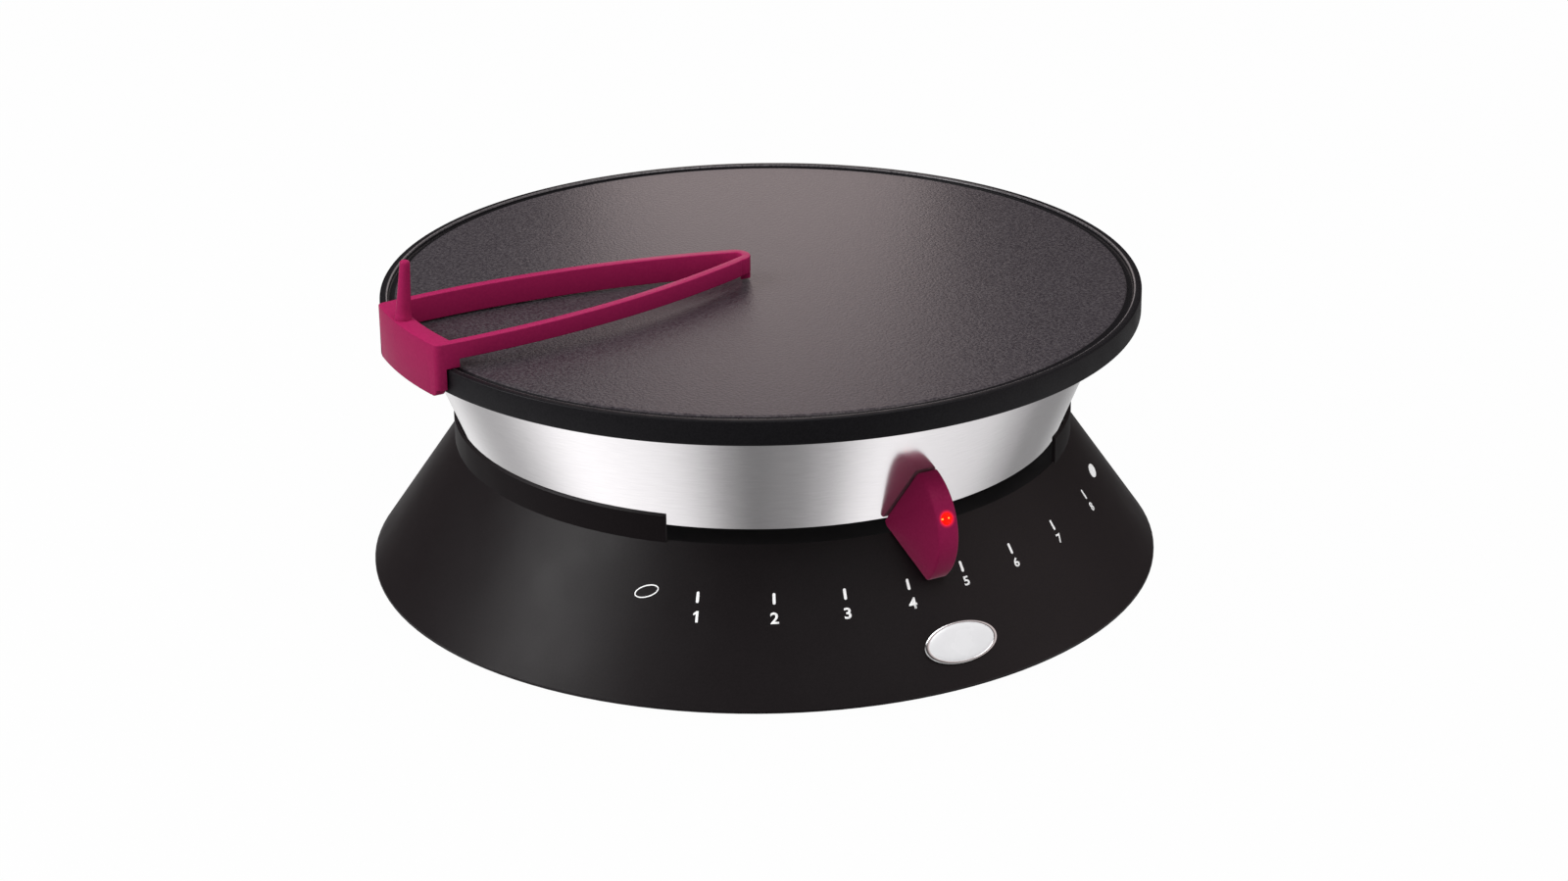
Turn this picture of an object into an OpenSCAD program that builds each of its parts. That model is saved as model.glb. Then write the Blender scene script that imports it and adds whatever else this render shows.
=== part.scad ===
// Electric crepe maker: a round non-stick griddle plate on a tapered steel drum,
// a conical base with a sliding heat control, and a trough spreader that sweeps the plate.
// Millimetres, +Z up. The origin is on the table, on the plate's own axis; -Y is the front.

/* [Griddle plate] */
// Outer diameter of the griddle plate
plate_d = 352; // [340:1:372]
// Height of the plate's outer wall
rim_h = 11.3; // [9:0.1:14]
// Thickness of the rim wall where it hangs over the drum
rim_wall = 5; // [3:0.5:7]
// Width of the raised lip on top of the rim
lip_w = 3.6; // [2:0.2:5]
// Width of the drip groove inside the lip
groove_w = 2; // [1:0.5:4]
// Depth of the drip groove below the cooking surface
groove_depth = 1.6; // [0.8:0.2:2.4]
// Width of the bevel that falls from the cooking surface to the groove
bevel_w = 2; // [1.6:0.2:6]
// How far the cooking surface lies below the lip
surface_drop = 0.5; // [0.2:0.1:1.5]
// Thickness of the plate's web
plate_t = 7; // [6:0.5:9]

/* [Drum] */
// Diameter of the steel drum at its lower edge
drum_bottom_d = 280; // [262:1:290]
// Height of the steel drum
drum_h = 57.5; // [48:0.5:66]
// How far the plate's rim stands out past the top of the drum
plate_overhang = 13; // [10:0.5:16]
// Thickness of the drum's steel sheet
drum_sheet = 0.8; // [0.6:0.1:1.2]
// Width of the drum's turned-out top flange
drum_flange_w = 5; // [3:0.5:6]
// Width of the drum's turned-in bottom flange
drum_hem_w = 10; // [6:1:16]
// Thickness of the drum's floor
floor_t = 1; // [0.8:0.1:1.5]

/* [Base] */
// Diameter of the base at the table
base_d = 370.6; // [350:0.2:390]
// Height of the conical part of the base
cone_h = 61; // [56:0.5:68]
// Wall of the base, measured level
base_wall = 3.6; // [2.8:0.1:4.5]
// Height of the plain edge at the foot of the cone
base_edge_h = 1.2; // [0.6:0.2:3]
// Thickness of the deck under the drum
deck_t = 3; // [2:0.5:4]
// How far the deck lies below the top edge of the cone
deck_drop = 2; // [1:0.5:4]
// Open height between the top of the cone and the drum
slot_h = 5.4; // [5:0.2:8]
// Width of the slot between the drum's lower edge and the cone
slot_w = 4; // [3.5:0.5:6.5]
// Height of the collar round the drum
collar_h = 12; // [8:0.5:15]
// Wall of the collar
collar_wall = 1.6; // [1.2:0.2:3.6]
// Gap between the collar and the drum
collar_gap = 0.5; // [0.4:0.1:1.4]
// Height of the rubber feet below the base
foot_h = 4; // [3:0.5:8]
// Thickness of the bottom cover
cover_t = 3; // [2:0.5:4]

/* [Heat control] */
// Angle of the middle of the control's travel from the front, in degrees
control_mid = -4.2; // [-8:0.2:4]
// Swing of the control to each side of the middle, in degrees
control_swing = 35.2; // [26:0.2:38]
// Angle from the middle at which the control rests, in degrees
control_rest = 3.4; // [-8:0.2:8]
// Radius of the knob's round crest
knob_r = 27.9; // [26:0.1:30]
// Width of the knob's crest
crest_w = 10.6; // [9:0.2:14]
// Width of each sloping flank of the knob
flank_w = 11; // [9:0.2:13]
// How far the knob's axis lies outside the drum's lower edge
knob_out = 0.4; // [0:0.1:1.4]
// How far the knob's axis lies above the top of the cone
knob_up = 2; // [1:0.1:3]
// Gap between the knob and the walls that it slides along
knob_gap = 0.8; // [0.6:0.1:1.6]
// Diameter of the indicator lens
lens_d = 5.6; // [4:0.2:6.4]
// Angle of the lens above the level through the knob's axis, in degrees
lens_tilt = 21; // [16:1:28]
// Width of the control arm
arm_w = 8; // [6:0.5:10]
// Thickness of the control arm
arm_t = 1.5; // [1.2:0.1:2]
// Diameter of the thermostat's spindle
spindle_d = 6; // [5:0.5:8]

/* [Spreader] */
// Width of the spreader at the rim of the plate
spreader_w = 64; // [56:1:70]
// How far each long side bows out
spreader_bow = 8.6; // [5:0.2:10]
// Radius of the spreader's rounded nose
nose_r = 8; // [7:0.5:10]
// Distance of the nose's centre from the plate's axis
nose_out = 11.4; // [9:0.2:16]
// Distance of the nose's centre from the spreader's middle, on the leading side
nose_side = 5.5; // [0:0.5:8]
// Height of the spreader above the rim
spreader_h = 12; // [9:0.5:16]
// Wall of the spreader's long sides
spreader_wall = 4.5; // [3:0.5:6]
// Wall of the nose
nose_wall = 4; // [3:0.5:5]
// Width of the end wall above the rim
end_wall = 9; // [8:0.5:12]
// Thickness of the hook outside the rim
hook_t = 4.5; // [3:0.1:6]
// How far the hook reaches down below the top of the rim
hook_drop = 12.2; // [9:0.2:18]
// Height of the batter gap under the trailing side
batter_gap = 3.9; // [1.5:0.1:5]
// Height of the grip pin
pin_h = 27; // [20:0.5:34]
// Diameter of the grip pin at its foot
pin_foot_d = 8; // [6:0.5:8.5]
// Diameter of the grip pin at its top
pin_top_d = 4.6; // [4:0.2:6]
// Lean of the grip pin towards the middle of the plate, in degrees
pin_lean = 5; // [0:0.5:8]
// Distance of the grip pin from the middle of the end wall
pin_offset = 7.4; // [0:0.2:15]

/* [Heating] */
// Diameter of the tubular heating element
element_d = 8; // [6.5:0.5:8.5]
// Radius of the element's outer loop
outer_loop_r = 125; // [115:1:128]
// Radius of the element's inner loop
inner_loop_r = 85; // [78:1:92]
// Thickness of the insulation pad
pad_t = 8; // [5:0.5:12]
// Diameter of the studs that hold the plate
stud_d = 5; // [4:0.5:6]
// Distance of the plate studs from the axis
stud_r = 62; // [58:1:66]

/* [Badge] */
// Length of the bare oval badge
badge_l = 36; // [28:1:44]
// Height of the bare oval badge
badge_w = 18; // [14:1:22]
// Distance of the badge's middle from the foot of the cone, along the slope
badge_up = 19; // [14:1:26]

/* [Hidden] */
$fn = 48;
// Fine steps for large round walls
fine = 360;
// Clearances: sliding, loose hole round a screw, running fit of the spindle, cut past a face
slide_gap = 0.3;
hole_gap = 0.2;
run_gap = 0.05;
cut = 1;

// Heights of the stack, from the table up
base_z = foot_h;
cone_top_z = base_z + cone_h;
deck_z = cone_top_z - deck_drop;
deck_under_z = deck_z - deck_t;
drum_z = cone_top_z + slot_h;
floor_top_z = drum_z + floor_t;
plate_under_z = drum_z + drum_h;
surface_z = plate_under_z + plate_t;
lip_z = surface_z + surface_drop;
rim_z = lip_z - rim_h;
collar_z = cone_top_z + collar_h;
cover_z = base_z + cover_t;

// Radii
plate_r = plate_d / 2;
base_r = base_d / 2;
drum_bottom_r = drum_bottom_d / 2;
drum_top_r = plate_r - plate_overhang;
drum_slope = (drum_top_r - drum_bottom_r) / drum_h;
drum_wall = drum_sheet * sqrt(1 + drum_slope * drum_slope);
cone_top_r = drum_bottom_r + slot_w;
cone_slope = (base_r - cone_top_r) / (cone_h - base_edge_h);
cone_tilt = atan(cone_slope);
collar_in_r = drum_r(collar_z) + collar_gap;
collar_out_r = collar_in_r + collar_wall;
bevel_r = plate_r - lip_w - groove_w - bevel_w;
lip_round = 1.2;
lip_edge = 0.8;

// Outer radius of the drum, and of the base, at a height
function drum_r(z) = drum_bottom_r + drum_slope * (z - drum_z);
function base_r_at(z) = base_r - cone_slope * (z - base_z - base_edge_h);

// Drum supports on the deck, in degrees from the front
support_angles = [-140, -75, 75, 140];
support_d = 12;
support_gap = 3;
support_r = drum_bottom_r - drum_hem_w - support_d - support_gap;
drum_screw_d = 4;
// Cover screws and the bosses that take them
cover_screw_angles = [30 : 60 : 330];
cover_screw_r = base_r - 27;
cover_screw_d = 3.5;
cover_boss_d = 9;
// Ventilation slots in the cover
vent_w = 4;
vent_near = 70;
vent_far = 105;
// Feet
foot_angles = [45 : 90 : 315];
foot_r = base_r - 24;
foot_d = 18;
foot_neck_d = 7;
foot_knob_d = 9;
// Cable inlet at the back
inlet_z = base_z + 14;
inlet_boss_d = 20;
inlet_face_y = base_r - 7.5;
inlet_hole_d = 11;
gland_flange_d = 16;
gland_flange_t = 2.5;
gland_in = 12;
gland_bore_d = 7.2;

// Control
slot_mid_z = (cone_top_z + drum_z) / 2;
knob_axis_z = cone_top_z + knob_up;
knob_axis_r = drum_bottom_r + knob_out;
knob_half = crest_w / 2 + flank_w;
arm_z = slot_mid_z - arm_t / 2;
arm_end_r = knob_axis_r + 15;
knob_reach = asin(knob_half / collar_in_r);
window_half = control_swing + knob_reach + 0.3;
hub_d = 20;
hub_top_d = 11;
hub_z = deck_z + 1.2;
hub_top_z = drum_z - 1;
arm_eye_d = 22;
rivet_d = 2;
rivet_r = (hub_top_d + hub_d) / 4;
rivet_head_d = 3.4;
set_screw_d = 2;
flat_depth = 1;
crest_round = 1.2;
lead_d = 2.4;
lamp_lead_d = 1.2;
lens_depth = 4;
lamp_l = 5;

// Thermostat under the deck
thermostat = [36, 30, 20];
bracket_t = 1.5;
bracket = [46, 20];
thermostat_screw_x = 14;
thermostat_screw_d = 4;
bush_d = 10;
bush_top_z = hub_z - 0.4;
spindle_foot_z = deck_under_z - bracket_t - 14;

// Heating stack under the plate
element_z = plate_under_z - element_d / 2 - 0.05;
clamp_top_z = plate_under_z - element_d - 0.1;
clamp_t = 1.5;
pad_top_z = clamp_top_z - clamp_t;
shield_top_z = pad_top_z - pad_t;
shield_t = 0.8;
clamp_out_r = outer_loop_r + 14;
clamp_in_r = 48;
stud_angles = [-60, 60, 180];
stud_boss_d = 14;
stud_top_z = plate_under_z + 3;
nut_h = 3.6;
nut_d = 9.2;
washer_t = 1;
washer_d = 11;
stud_foot_z = drum_z - washer_t - nut_h - 0.6;
element_start = 100;
element_turn = 330;
element_bend_r = 10;
element_leg_z = plate_under_z - 26;
bead_h = 5;
bead_d = 6;
pin_d = 3;
pin_l = 9;
leg_hole_d = element_d + 4;
mid_loop_r = (outer_loop_r + inner_loop_r) / 2;

// Sensors under the middle of the plate
bulb_d = 5;
bulb_l = 50;
bulb_y = 22;
clip_l = 10;
clip_t = 1;
clip_ear = 9;
cutout_y = -20;
cutout_d = 16;
cutout_h = 8;
ear_t = 1;
ear_x = 13;
sensor_screw_d = 3;
sensor_screw_l = 5;
sensor_screw_pos = [[0, bulb_y - clip_ear], [0, bulb_y + clip_ear], [-ear_x, cutout_y],
    [ear_x, cutout_y]];
bulb_z = plate_under_z - bulb_d / 2 - 0.1;

// Leads and what they pass through
grommet_y = 92;
grommet_hole_d = 14;
grommet_bore_d = 9;
// Gap between the end of a lead and its tag
end_gap = 0.35;
// Height of the leads' run over the cover
run_z = cover_z + 17;
// Where a lead or tube passes the grommets, at an angle round their bore
function in_grommet(a, z) = [2.5 * cos(a), grommet_y + 2.5 * sin(a), z];
terminal_pos = [-32, 118, cover_z];
terminal_size = [36, 20, 16];
earth_pos = [30, 92];
earth_screw_d = 4;

// Spreader
spreader_az = -90;
spreader_z = lip_z + slide_gap;
spreader_top_z = lip_z + spreader_h;
hook_in_r = plate_r + 0.6;
hook_out_r = hook_in_r + hook_t;
end_in_r = hook_out_r - end_wall;
hook_z = lip_z - hook_drop;
corner_r = 3;
nose_foot_w = 3;
batter_r = plate_r - lip_w - groove_w;
pin_r = (end_in_r + hook_out_r) / 2;

// Points along an arc in the plane
function arc(c, r, a0, a1, n = 6) =
    [for (i = [0 : n]) c + r * [cos(a0 + (a1 - a0) * i / n), sin(a0 + (a1 - a0) * i / n)]];

function unit(v) = v / norm(v);

// Smooth curve through points, with steps between each two
function curve_point(p, i, t) =
    let (a = p[max(i - 1, 0)], b = p[i], c = p[i + 1], d = p[min(i + 2, len(p) - 1)])
    0.5 * (2 * b + (c - a) * t + (2 * a - 5 * b + 4 * c - d) * t * t
        + (3 * b - a - 3 * c + d) * t * t * t);
function curve(p, steps) = concat(
    [for (i = [0 : len(p) - 2]) for (k = [0 : steps - 1]) curve_point(p, i, k / steps)],
    [p[len(p) - 1]]);

// Direction along a path, and a side direction carried along it without twist
function directions(p) =
    [for (i = [0 : len(p) - 1]) unit(p[min(i + 1, len(p) - 1)] - p[max(i - 1, 0)])];
function sides(t, i, s) =
    i >= len(t) ? [] : let (n = unit(s - (s * t[i]) * t[i])) concat([n], sides(t, i + 1, n));

// Round tube along a path
module tube(path, d, n = 8) {
    t = directions(path);
    first = abs(t[0].z) < 0.9 ? [0, 0, 1] : [1, 0, 0];
    s = sides(t, 0, first);
    points = [for (i = [0 : len(path) - 1]) for (k = [0 : n - 1])
        path[i] + d / 2 * (cos(360 * k / n) * s[i] + sin(360 * k / n) * cross(t[i], s[i]))];
    last = len(path) - 1;
    walls = [for (i = [0 : last - 1]) for (k = [0 : n - 1])
        let (a = i * n + k, b = i * n + (k + 1) % n) each [[a, a + n, b], [b, a + n, b + n]]];
    caps = [for (k = [1 : n - 2]) each [[0, k, k + 1],
        [last * n, last * n + k + 1, last * n + k]]];
    polyhedron(points, concat(walls, caps));
}

// Puts its children at an angle from the front, a distance out and a height
module at(angle, r, z = 0) {
    rotate([0, 0, angle]) translate([0, -r, z]) children();
}

// Round rod from one point to another
module rod(a, b, d) {
    v = b - a;
    translate(a) rotate([0, acos(v.z / norm(v)), atan2(v.y, v.x)]) cylinder(d = d, h = norm(v));
}

// Oval of four arcs, with a length, a height and the radius of its ends
module oval(length, height, end_r) {
    a = length / 2;
    b = height / 2;
    c = a - end_r;
    k = (c * c - (b - end_r) * (b - end_r)) / (2 * (b - end_r));
    side_r = b + k;
    join_x = side_r * c / sqrt(c * c + k * k);
    intersection() {
        translate([0, -k]) circle(r = side_r, $fn = fine);
        translate([0, k]) circle(r = side_r, $fn = fine);
        square([2 * join_x, height], center = true);
    }
    for (x = [-c, c]) translate([x, 0]) circle(r = end_r, $fn = 96);
}

// Hexagon nut with its washer below it, or above it
module nut(bore, washer_on_top = false) {
    nut_z = washer_on_top ? 0 : washer_t;
    washer_z = washer_on_top ? nut_h : 0;
    difference() {
        union() {
            translate([0, 0, nut_z]) cylinder(d = nut_d, h = nut_h, $fn = 6);
            translate([0, 0, washer_z]) cylinder(d = washer_d, h = washer_t);
        }
        translate([0, 0, -cut]) cylinder(d = bore, h = nut_h + washer_t + 2 * cut);
    }
}

// Screw that points up from its head
module screw_up(d, l, head_d, head_h) {
    translate([0, 0, -head_h]) cylinder(d = head_d, h = head_h);
    cylinder(d = d, h = l);
}

// Lies on the slope of the base at the front, with +Z square to it
module on_slope(up) {
    z = base_z + base_edge_h + up * cos(cone_tilt);
    translate([0, -base_r_at(z), z]) rotate([90 - cone_tilt, 0, 0]) children();
}

// Base ---------------------------------------------------------------------

module base_shell() color([0.06, 0.06, 0.065]) {
    inner_r = base_r - base_wall;
    deck_in_r = base_r_at(deck_under_z) - base_wall;
    land = cone_top_r - 2.4;
    difference() {
        union() {
            rotate_extrude($fn = fine) polygon([[base_r, base_z], [base_r, base_z + base_edge_h],
                [cone_top_r, cone_top_z], [land, cone_top_z], [land, deck_z], [0, deck_z],
                [0, deck_under_z], [deck_in_r, deck_under_z],
                [inner_r, base_z + base_edge_h], [inner_r, base_z]]);
            rotate([0, 0, control_mid + window_half - 90])
                rotate_extrude(angle = 360 - 2 * window_half, $fn = fine)
                polygon([[collar_in_r, deck_z - cut], [collar_out_r, deck_z - cut],
                    [collar_out_r, collar_z - 0.8], [collar_out_r - 0.8, collar_z],
                    [collar_in_r, collar_z]]);
            for (a = support_angles) at(a, support_r, deck_z - cut)
                cylinder(d = support_d, h = drum_z - deck_z + cut);
            intersection() {
                union() {
                    for (a = cover_screw_angles) at(a, cover_screw_r, cover_z)
                        cylinder(d = cover_boss_d, h = deck_under_z - cover_z);
                    translate([0, inlet_face_y, inlet_z]) rotate([90, 0, 0])
                        cylinder(d = inlet_boss_d, h = 14);
                }
                union() {
                    rotate_extrude($fn = fine) polygon([[0, base_z], [base_r - 1, base_z],
                        [base_r - 1, base_z + base_edge_h], [cone_top_r - 1, cone_top_z - 1],
                        [0, cone_top_z - 1]]);
                    translate([0, inlet_face_y + cut, inlet_z]) rotate([90, 0, 0])
                        cylinder(d = inlet_boss_d + 2, h = 24);
                }
            }
        }
        // Holes through the drum supports
        for (a = support_angles) at(a, support_r, deck_under_z - cut)
            cylinder(d = drum_screw_d + 2 * hole_gap, h = drum_z - deck_under_z + 2 * cut);
        // Pilot holes for the cover screws
        for (a = cover_screw_angles) at(a, cover_screw_r, cover_z - cut)
            cylinder(d = cover_screw_d + 2 * hole_gap, h = 14 + cut);
        // Thermostat bush and its two sunk screws
        translate([0, 0, deck_under_z - cut])
            cylinder(d = bush_d + 2 * hole_gap, h = deck_t + 2 * cut);
        for (x = [-thermostat_screw_x, thermostat_screw_x]) translate([x, 0, deck_under_z - cut]) {
            cylinder(d = thermostat_screw_d + 2 * hole_gap, h = deck_t + 2 * cut);
            translate([0, 0, cut + deck_t - 2.2])
                cylinder(d1 = thermostat_screw_d + 2 * hole_gap, d2 = 8.8, h = 2.2);
            translate([0, 0, cut + deck_t]) cylinder(d = 8.8, h = cut);
        }
        // Lead grommet
        translate([0, grommet_y, deck_under_z - cut])
            cylinder(d = grommet_hole_d, h = deck_t + 2 * cut);
        // Cable inlet, and the round seat of its gland
        translate([0, base_r, inlet_z]) rotate([90, 0, 0])
            cylinder(d = inlet_hole_d, h = 40);
        translate([0, inlet_face_y, inlet_z]) rotate([-90, 0, 0])
            cylinder(d = gland_flange_d + 2, h = base_r - inlet_face_y);
        // Seat of the badge
        on_slope(badge_up) translate([0, 0, -0.9]) linear_extrude(height = 4)
            oval(badge_l + 2 * hole_gap, badge_w + 2 * hole_gap, badge_w / 3 + hole_gap);
        // Room in the edge for the cover
        translate([0, 0, base_z - cut])
            cylinder(r = cover_r() + hole_gap, h = cover_t + cut, $fn = fine);
    }
}

// The bottom cover fills the foot of the cone, inside its wall
function cover_r() = base_r - base_wall - cone_slope * cover_t + 1;

module bottom_cover() color([0.1, 0.1, 0.105]) difference() {
    translate([0, 0, base_z]) cylinder(r = cover_r(), h = cover_t, $fn = fine);
    for (a = cover_screw_angles) at(a, cover_screw_r, base_z - cut)
        cylinder(d = cover_screw_d + 2 * hole_gap, h = cover_t + 2 * cut);
    for (a = foot_angles) at(a, foot_r, base_z - cut)
        cylinder(d = foot_neck_d + 2 * hole_gap, h = cover_t + 2 * cut);
    // Ventilation slots
    for (a = [22.5 : 45 : 337.5]) at(a, 0, base_z - cut) for (x = [-8, 0, 8]) {
        for (y = [-vent_near, -vent_far]) translate([x, y, 0])
            cylinder(d = vent_w, h = cover_t + 2 * cut);
        translate([x - vent_w / 2, -vent_far, 0])
            cube([vent_w, vent_far - vent_near, cover_t + 2 * cut]);
    }
}

module rubber_feet() color([0.16, 0.16, 0.16]) for (a = foot_angles) at(a, foot_r)
    rotate_extrude() polygon([[0, 0], [foot_d / 2 - 1.2, 0], [foot_d / 2, 1.2], [foot_d / 2, foot_h],
        [foot_neck_d / 2, foot_h], [foot_neck_d / 2, cover_z], [foot_knob_d / 2, cover_z],
        [foot_knob_d / 2, cover_z + 0.8], [foot_neck_d / 2 - 1, cover_z + 3.5], [0, cover_z + 3.5]]);

module cover_screws() color([0.5, 0.5, 0.52]) for (a = cover_screw_angles)
    at(a, cover_screw_r, base_z) screw_up(cover_screw_d, 12, 7, 2);

module cable_gland() color([0.1, 0.1, 0.1]) translate([0, inlet_face_y, inlet_z])
    rotate([90, 0, 0]) difference() {
        union() {
            translate([0, 0, -gland_flange_t]) cylinder(d = gland_flange_d, h = gland_flange_t);
            cylinder(d = inlet_hole_d - 0.2, h = gland_in);
        }
        translate([0, 0, -gland_flange_t - cut])
            cylinder(d = gland_bore_d, h = gland_flange_t + gland_in + 2 * cut);
    }

module badge_plate() color([0.85, 0.84, 0.83]) on_slope(badge_up) translate([0, 0, -0.9]) {
    linear_extrude(height = 1.7) oval(badge_l, badge_w, badge_w / 3);
    translate([0, 0, 1.7]) linear_extrude(height = 0.4)
        oval(badge_l - 1.6, badge_w - 1.6, badge_w / 3 - 0.8);
}

// Supply and control inside the base ---------------------------------------

module terminal_block() color([0.9, 0.88, 0.82]) translate(terminal_pos) difference() {
    translate([-terminal_size.x / 2, -terminal_size.y / 2, 0]) cube(terminal_size);
    for (x = [-12, 0, 12]) translate([x, 0, 6]) {
        translate([0, -terminal_size.y / 2 - cut, 4]) rotate([-90, 0, 0])
            cylinder(d = 4.5, h = terminal_size.y + 2 * cut);
        cylinder(d = 5, h = terminal_size.z);
    }
}

module thermostat_body() color([0.72, 0.7, 0.66]) difference() {
    union() {
        translate([-thermostat.x / 2, -thermostat.y / 2, deck_under_z - bracket_t - thermostat.z])
            cube(thermostat);
        translate([-bracket.x / 2, -bracket.y / 2, deck_under_z - bracket_t])
            cube([bracket.x, bracket.y, bracket_t]);
        translate([0, 0, deck_under_z - cut])
            cylinder(d = bush_d, h = bush_top_z - deck_under_z + cut);
        for (x = [-9, 9]) translate([x - 3.15, 6, deck_under_z - bracket_t - thermostat.z - 8])
            cube([6.3, 0.8, 9]);
    }
    translate([0, 0, spindle_foot_z])
        cylinder(d = spindle_d + 2 * run_gap, h = bush_top_z - spindle_foot_z + cut);
    for (x = [-thermostat_screw_x, thermostat_screw_x])
        translate([x, 0, deck_under_z - bracket_t - 8])
            cylinder(d = thermostat_screw_d + 2 * hole_gap, h = bracket_t + 8 + cut);
}

module thermostat_screws() color([0.6, 0.6, 0.62])
    for (x = [-thermostat_screw_x, thermostat_screw_x]) translate([x, 0, 0]) {
        translate([0, 0, deck_under_z - 7]) cylinder(d = thermostat_screw_d, h = deck_t + 6);
        translate([0, 0, deck_z - 2.4]) cylinder(d1 = thermostat_screw_d, d2 = 8, h = 2.2);
    }

// Bulb against the plate, and the fine tube that leads to it
module capillary_sensor() color([0.75, 0.5, 0.32]) {
    translate([-bulb_l / 2, bulb_y, bulb_z]) rotate([0, 90, 0]) cylinder(d = bulb_d, h = bulb_l);
    tube(curve([[4, thermostat.y / 2 + end_gap, deck_under_z - 14],
        [4, thermostat.y / 2 + 8, deck_under_z - 14],
        [4, thermostat.y / 2 + 45, deck_under_z - 16], in_grommet(0, deck_under_z - 8),
        in_grommet(0, deck_under_z), in_grommet(0, floor_top_z), in_grommet(0, floor_top_z + 12),
        [12, grommet_y - 10, floor_top_z + 18],
        [28, bulb_y + 32, floor_top_z + 26], [36, bulb_y + 10, shield_top_z - 8],
        [34, bulb_y + 2, pad_top_z - 4],
        [31, bulb_y, bulb_z - 1.5], [bulb_l / 2 - cut, bulb_y, bulb_z]], 4), 1.6);
}

// Drum ----------------------------------------------------------------------

module steel_drum() color([0.78, 0.78, 0.8]) rotate_extrude($fn = fine) polygon([
    [drum_bottom_r, drum_z], [drum_r(plate_under_z - drum_sheet), plate_under_z - drum_sheet],
    [drum_top_r + drum_flange_w, plate_under_z - drum_sheet],
    [drum_top_r + drum_flange_w, plate_under_z], [drum_top_r - drum_wall, plate_under_z],
    [drum_r(floor_top_z + drum_sheet) - drum_wall, floor_top_z + drum_sheet],
    [drum_bottom_r - drum_hem_w, floor_top_z + drum_sheet], [drum_bottom_r - drum_hem_w, floor_top_z],
    [drum_r(floor_top_z) - drum_wall, floor_top_z], [drum_bottom_r - drum_wall, drum_z]]);

module drum_floor() color([0.66, 0.67, 0.69]) difference() {
    translate([0, 0, drum_z])
        cylinder(r = drum_bottom_r - drum_wall - hole_gap, h = floor_t, $fn = fine);
    for (a = support_angles) at(a, support_r, drum_z - cut)
        cylinder(d = drum_screw_d + 2 * hole_gap, h = floor_t + 2 * cut);
    for (a = stud_angles) at(a, stud_r, drum_z - cut)
        cylinder(d = stud_d + 2 * hole_gap, h = floor_t + 2 * cut);
    translate([0, grommet_y, drum_z - cut]) cylinder(d = grommet_hole_d, h = floor_t + 2 * cut);
    translate([earth_pos.x, earth_pos.y, drum_z - cut])
        cylinder(d = earth_screw_d + 2 * hole_gap, h = floor_t + 2 * cut);
}

module drum_screws() color([0.6, 0.6, 0.62]) for (a = support_angles)
    at(a, support_r, deck_under_z)
        screw_up(drum_screw_d, floor_top_z - deck_under_z + washer_t + nut_h + cut, 8, 2.6);

module drum_nuts() color([0.6, 0.6, 0.62]) for (a = support_angles)
    at(a, support_r, floor_top_z) nut(drum_screw_d + 0.1);

// Plate and its heating stack -------------------------------------------------

module griddle_plate() color([0.2, 0.19, 0.2]) difference() {
    union() {
        rotate_extrude($fn = fine) polygon(concat(
            [[0, plate_under_z], [plate_r - rim_wall - 2, plate_under_z],
                [plate_r - rim_wall, plate_under_z - 2], [plate_r - rim_wall, rim_z]],
            arc([plate_r - lip_edge, rim_z + lip_edge], lip_edge, -90, 0, 3),
            arc([plate_r - lip_round, lip_z - lip_round], lip_round, 0, 90, 5),
            arc([plate_r - lip_w + lip_edge, lip_z - lip_edge], lip_edge, 90, 180, 4),
            [[plate_r - lip_w, surface_z - groove_depth],
                [plate_r - lip_w - groove_w, surface_z - groove_depth],
                [bevel_r, surface_z], [0, surface_z]]));
        for (a = stud_angles) at(a, stud_r, clamp_top_z)
            cylinder(d = stud_boss_d, h = plate_under_z - clamp_top_z + cut);
    }
    for (a = stud_angles) at(a, stud_r, clamp_top_z - cut)
        cylinder(d = stud_d + 0.1, h = stud_top_z - clamp_top_z + cut);
    for (p = sensor_screw_pos) translate([p.x, p.y, plate_under_z - cut])
        cylinder(d = sensor_screw_d + 0.1, h = sensor_screw_l - ear_t + 2 * cut);
}

// Point on a loop of the element, its downward bend, and the foot of a leg
function on_loop(r, a) = [r * cos(a), r * sin(a), element_z];
function on_bend(r, a) = [
    r * cos(element_start) + element_bend_r * sin(a) * sin(element_start),
    r * sin(element_start) - element_bend_r * sin(a) * cos(element_start),
    element_z - element_bend_r * (1 - cos(a))];
function leg_pos(r) = on_bend(r, 90);

// One leg, the outer loop, the turn, the inner loop and the other leg, in one tube
module heating_element() color([0.35, 0.34, 0.33]) {
    turn_r = (outer_loop_r - inner_loop_r) / 2;
    turn_a = element_start + element_turn;
    radial = [cos(turn_a), sin(turn_a), 0];
    onward = [-sin(turn_a), cos(turn_a), 0];
    turn_c = on_loop(mid_loop_r, turn_a);
    tube(concat(
        [[leg_pos(outer_loop_r).x, leg_pos(outer_loop_r).y, element_leg_z]],
        [for (a = [90 : -22.5 : 22.5]) on_bend(outer_loop_r, a)],
        [for (a = [0 : 7.5 : element_turn]) on_loop(outer_loop_r, element_start + a)],
        [for (a = [15 : 15 : 165]) turn_c + turn_r * (cos(a) * radial + sin(a) * onward)],
        [for (a = [element_turn : -7.5 : 0]) on_loop(inner_loop_r, element_start + a)],
        [for (a = [22.5 : 22.5 : 90]) on_bend(inner_loop_r, a)],
        [[leg_pos(inner_loop_r).x, leg_pos(inner_loop_r).y, element_leg_z]]), element_d, 10);
}

module element_terminals() color([0.86, 0.85, 0.8]) for (r = [outer_loop_r, inner_loop_r])
    translate([leg_pos(r).x, leg_pos(r).y, element_leg_z]) {
        translate([0, 0, -bead_h]) cylinder(d = bead_d, h = bead_h);
        translate([0, 0, -bead_h - pin_l]) cylinder(d = pin_d, h = pin_l + cut);
    }

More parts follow.
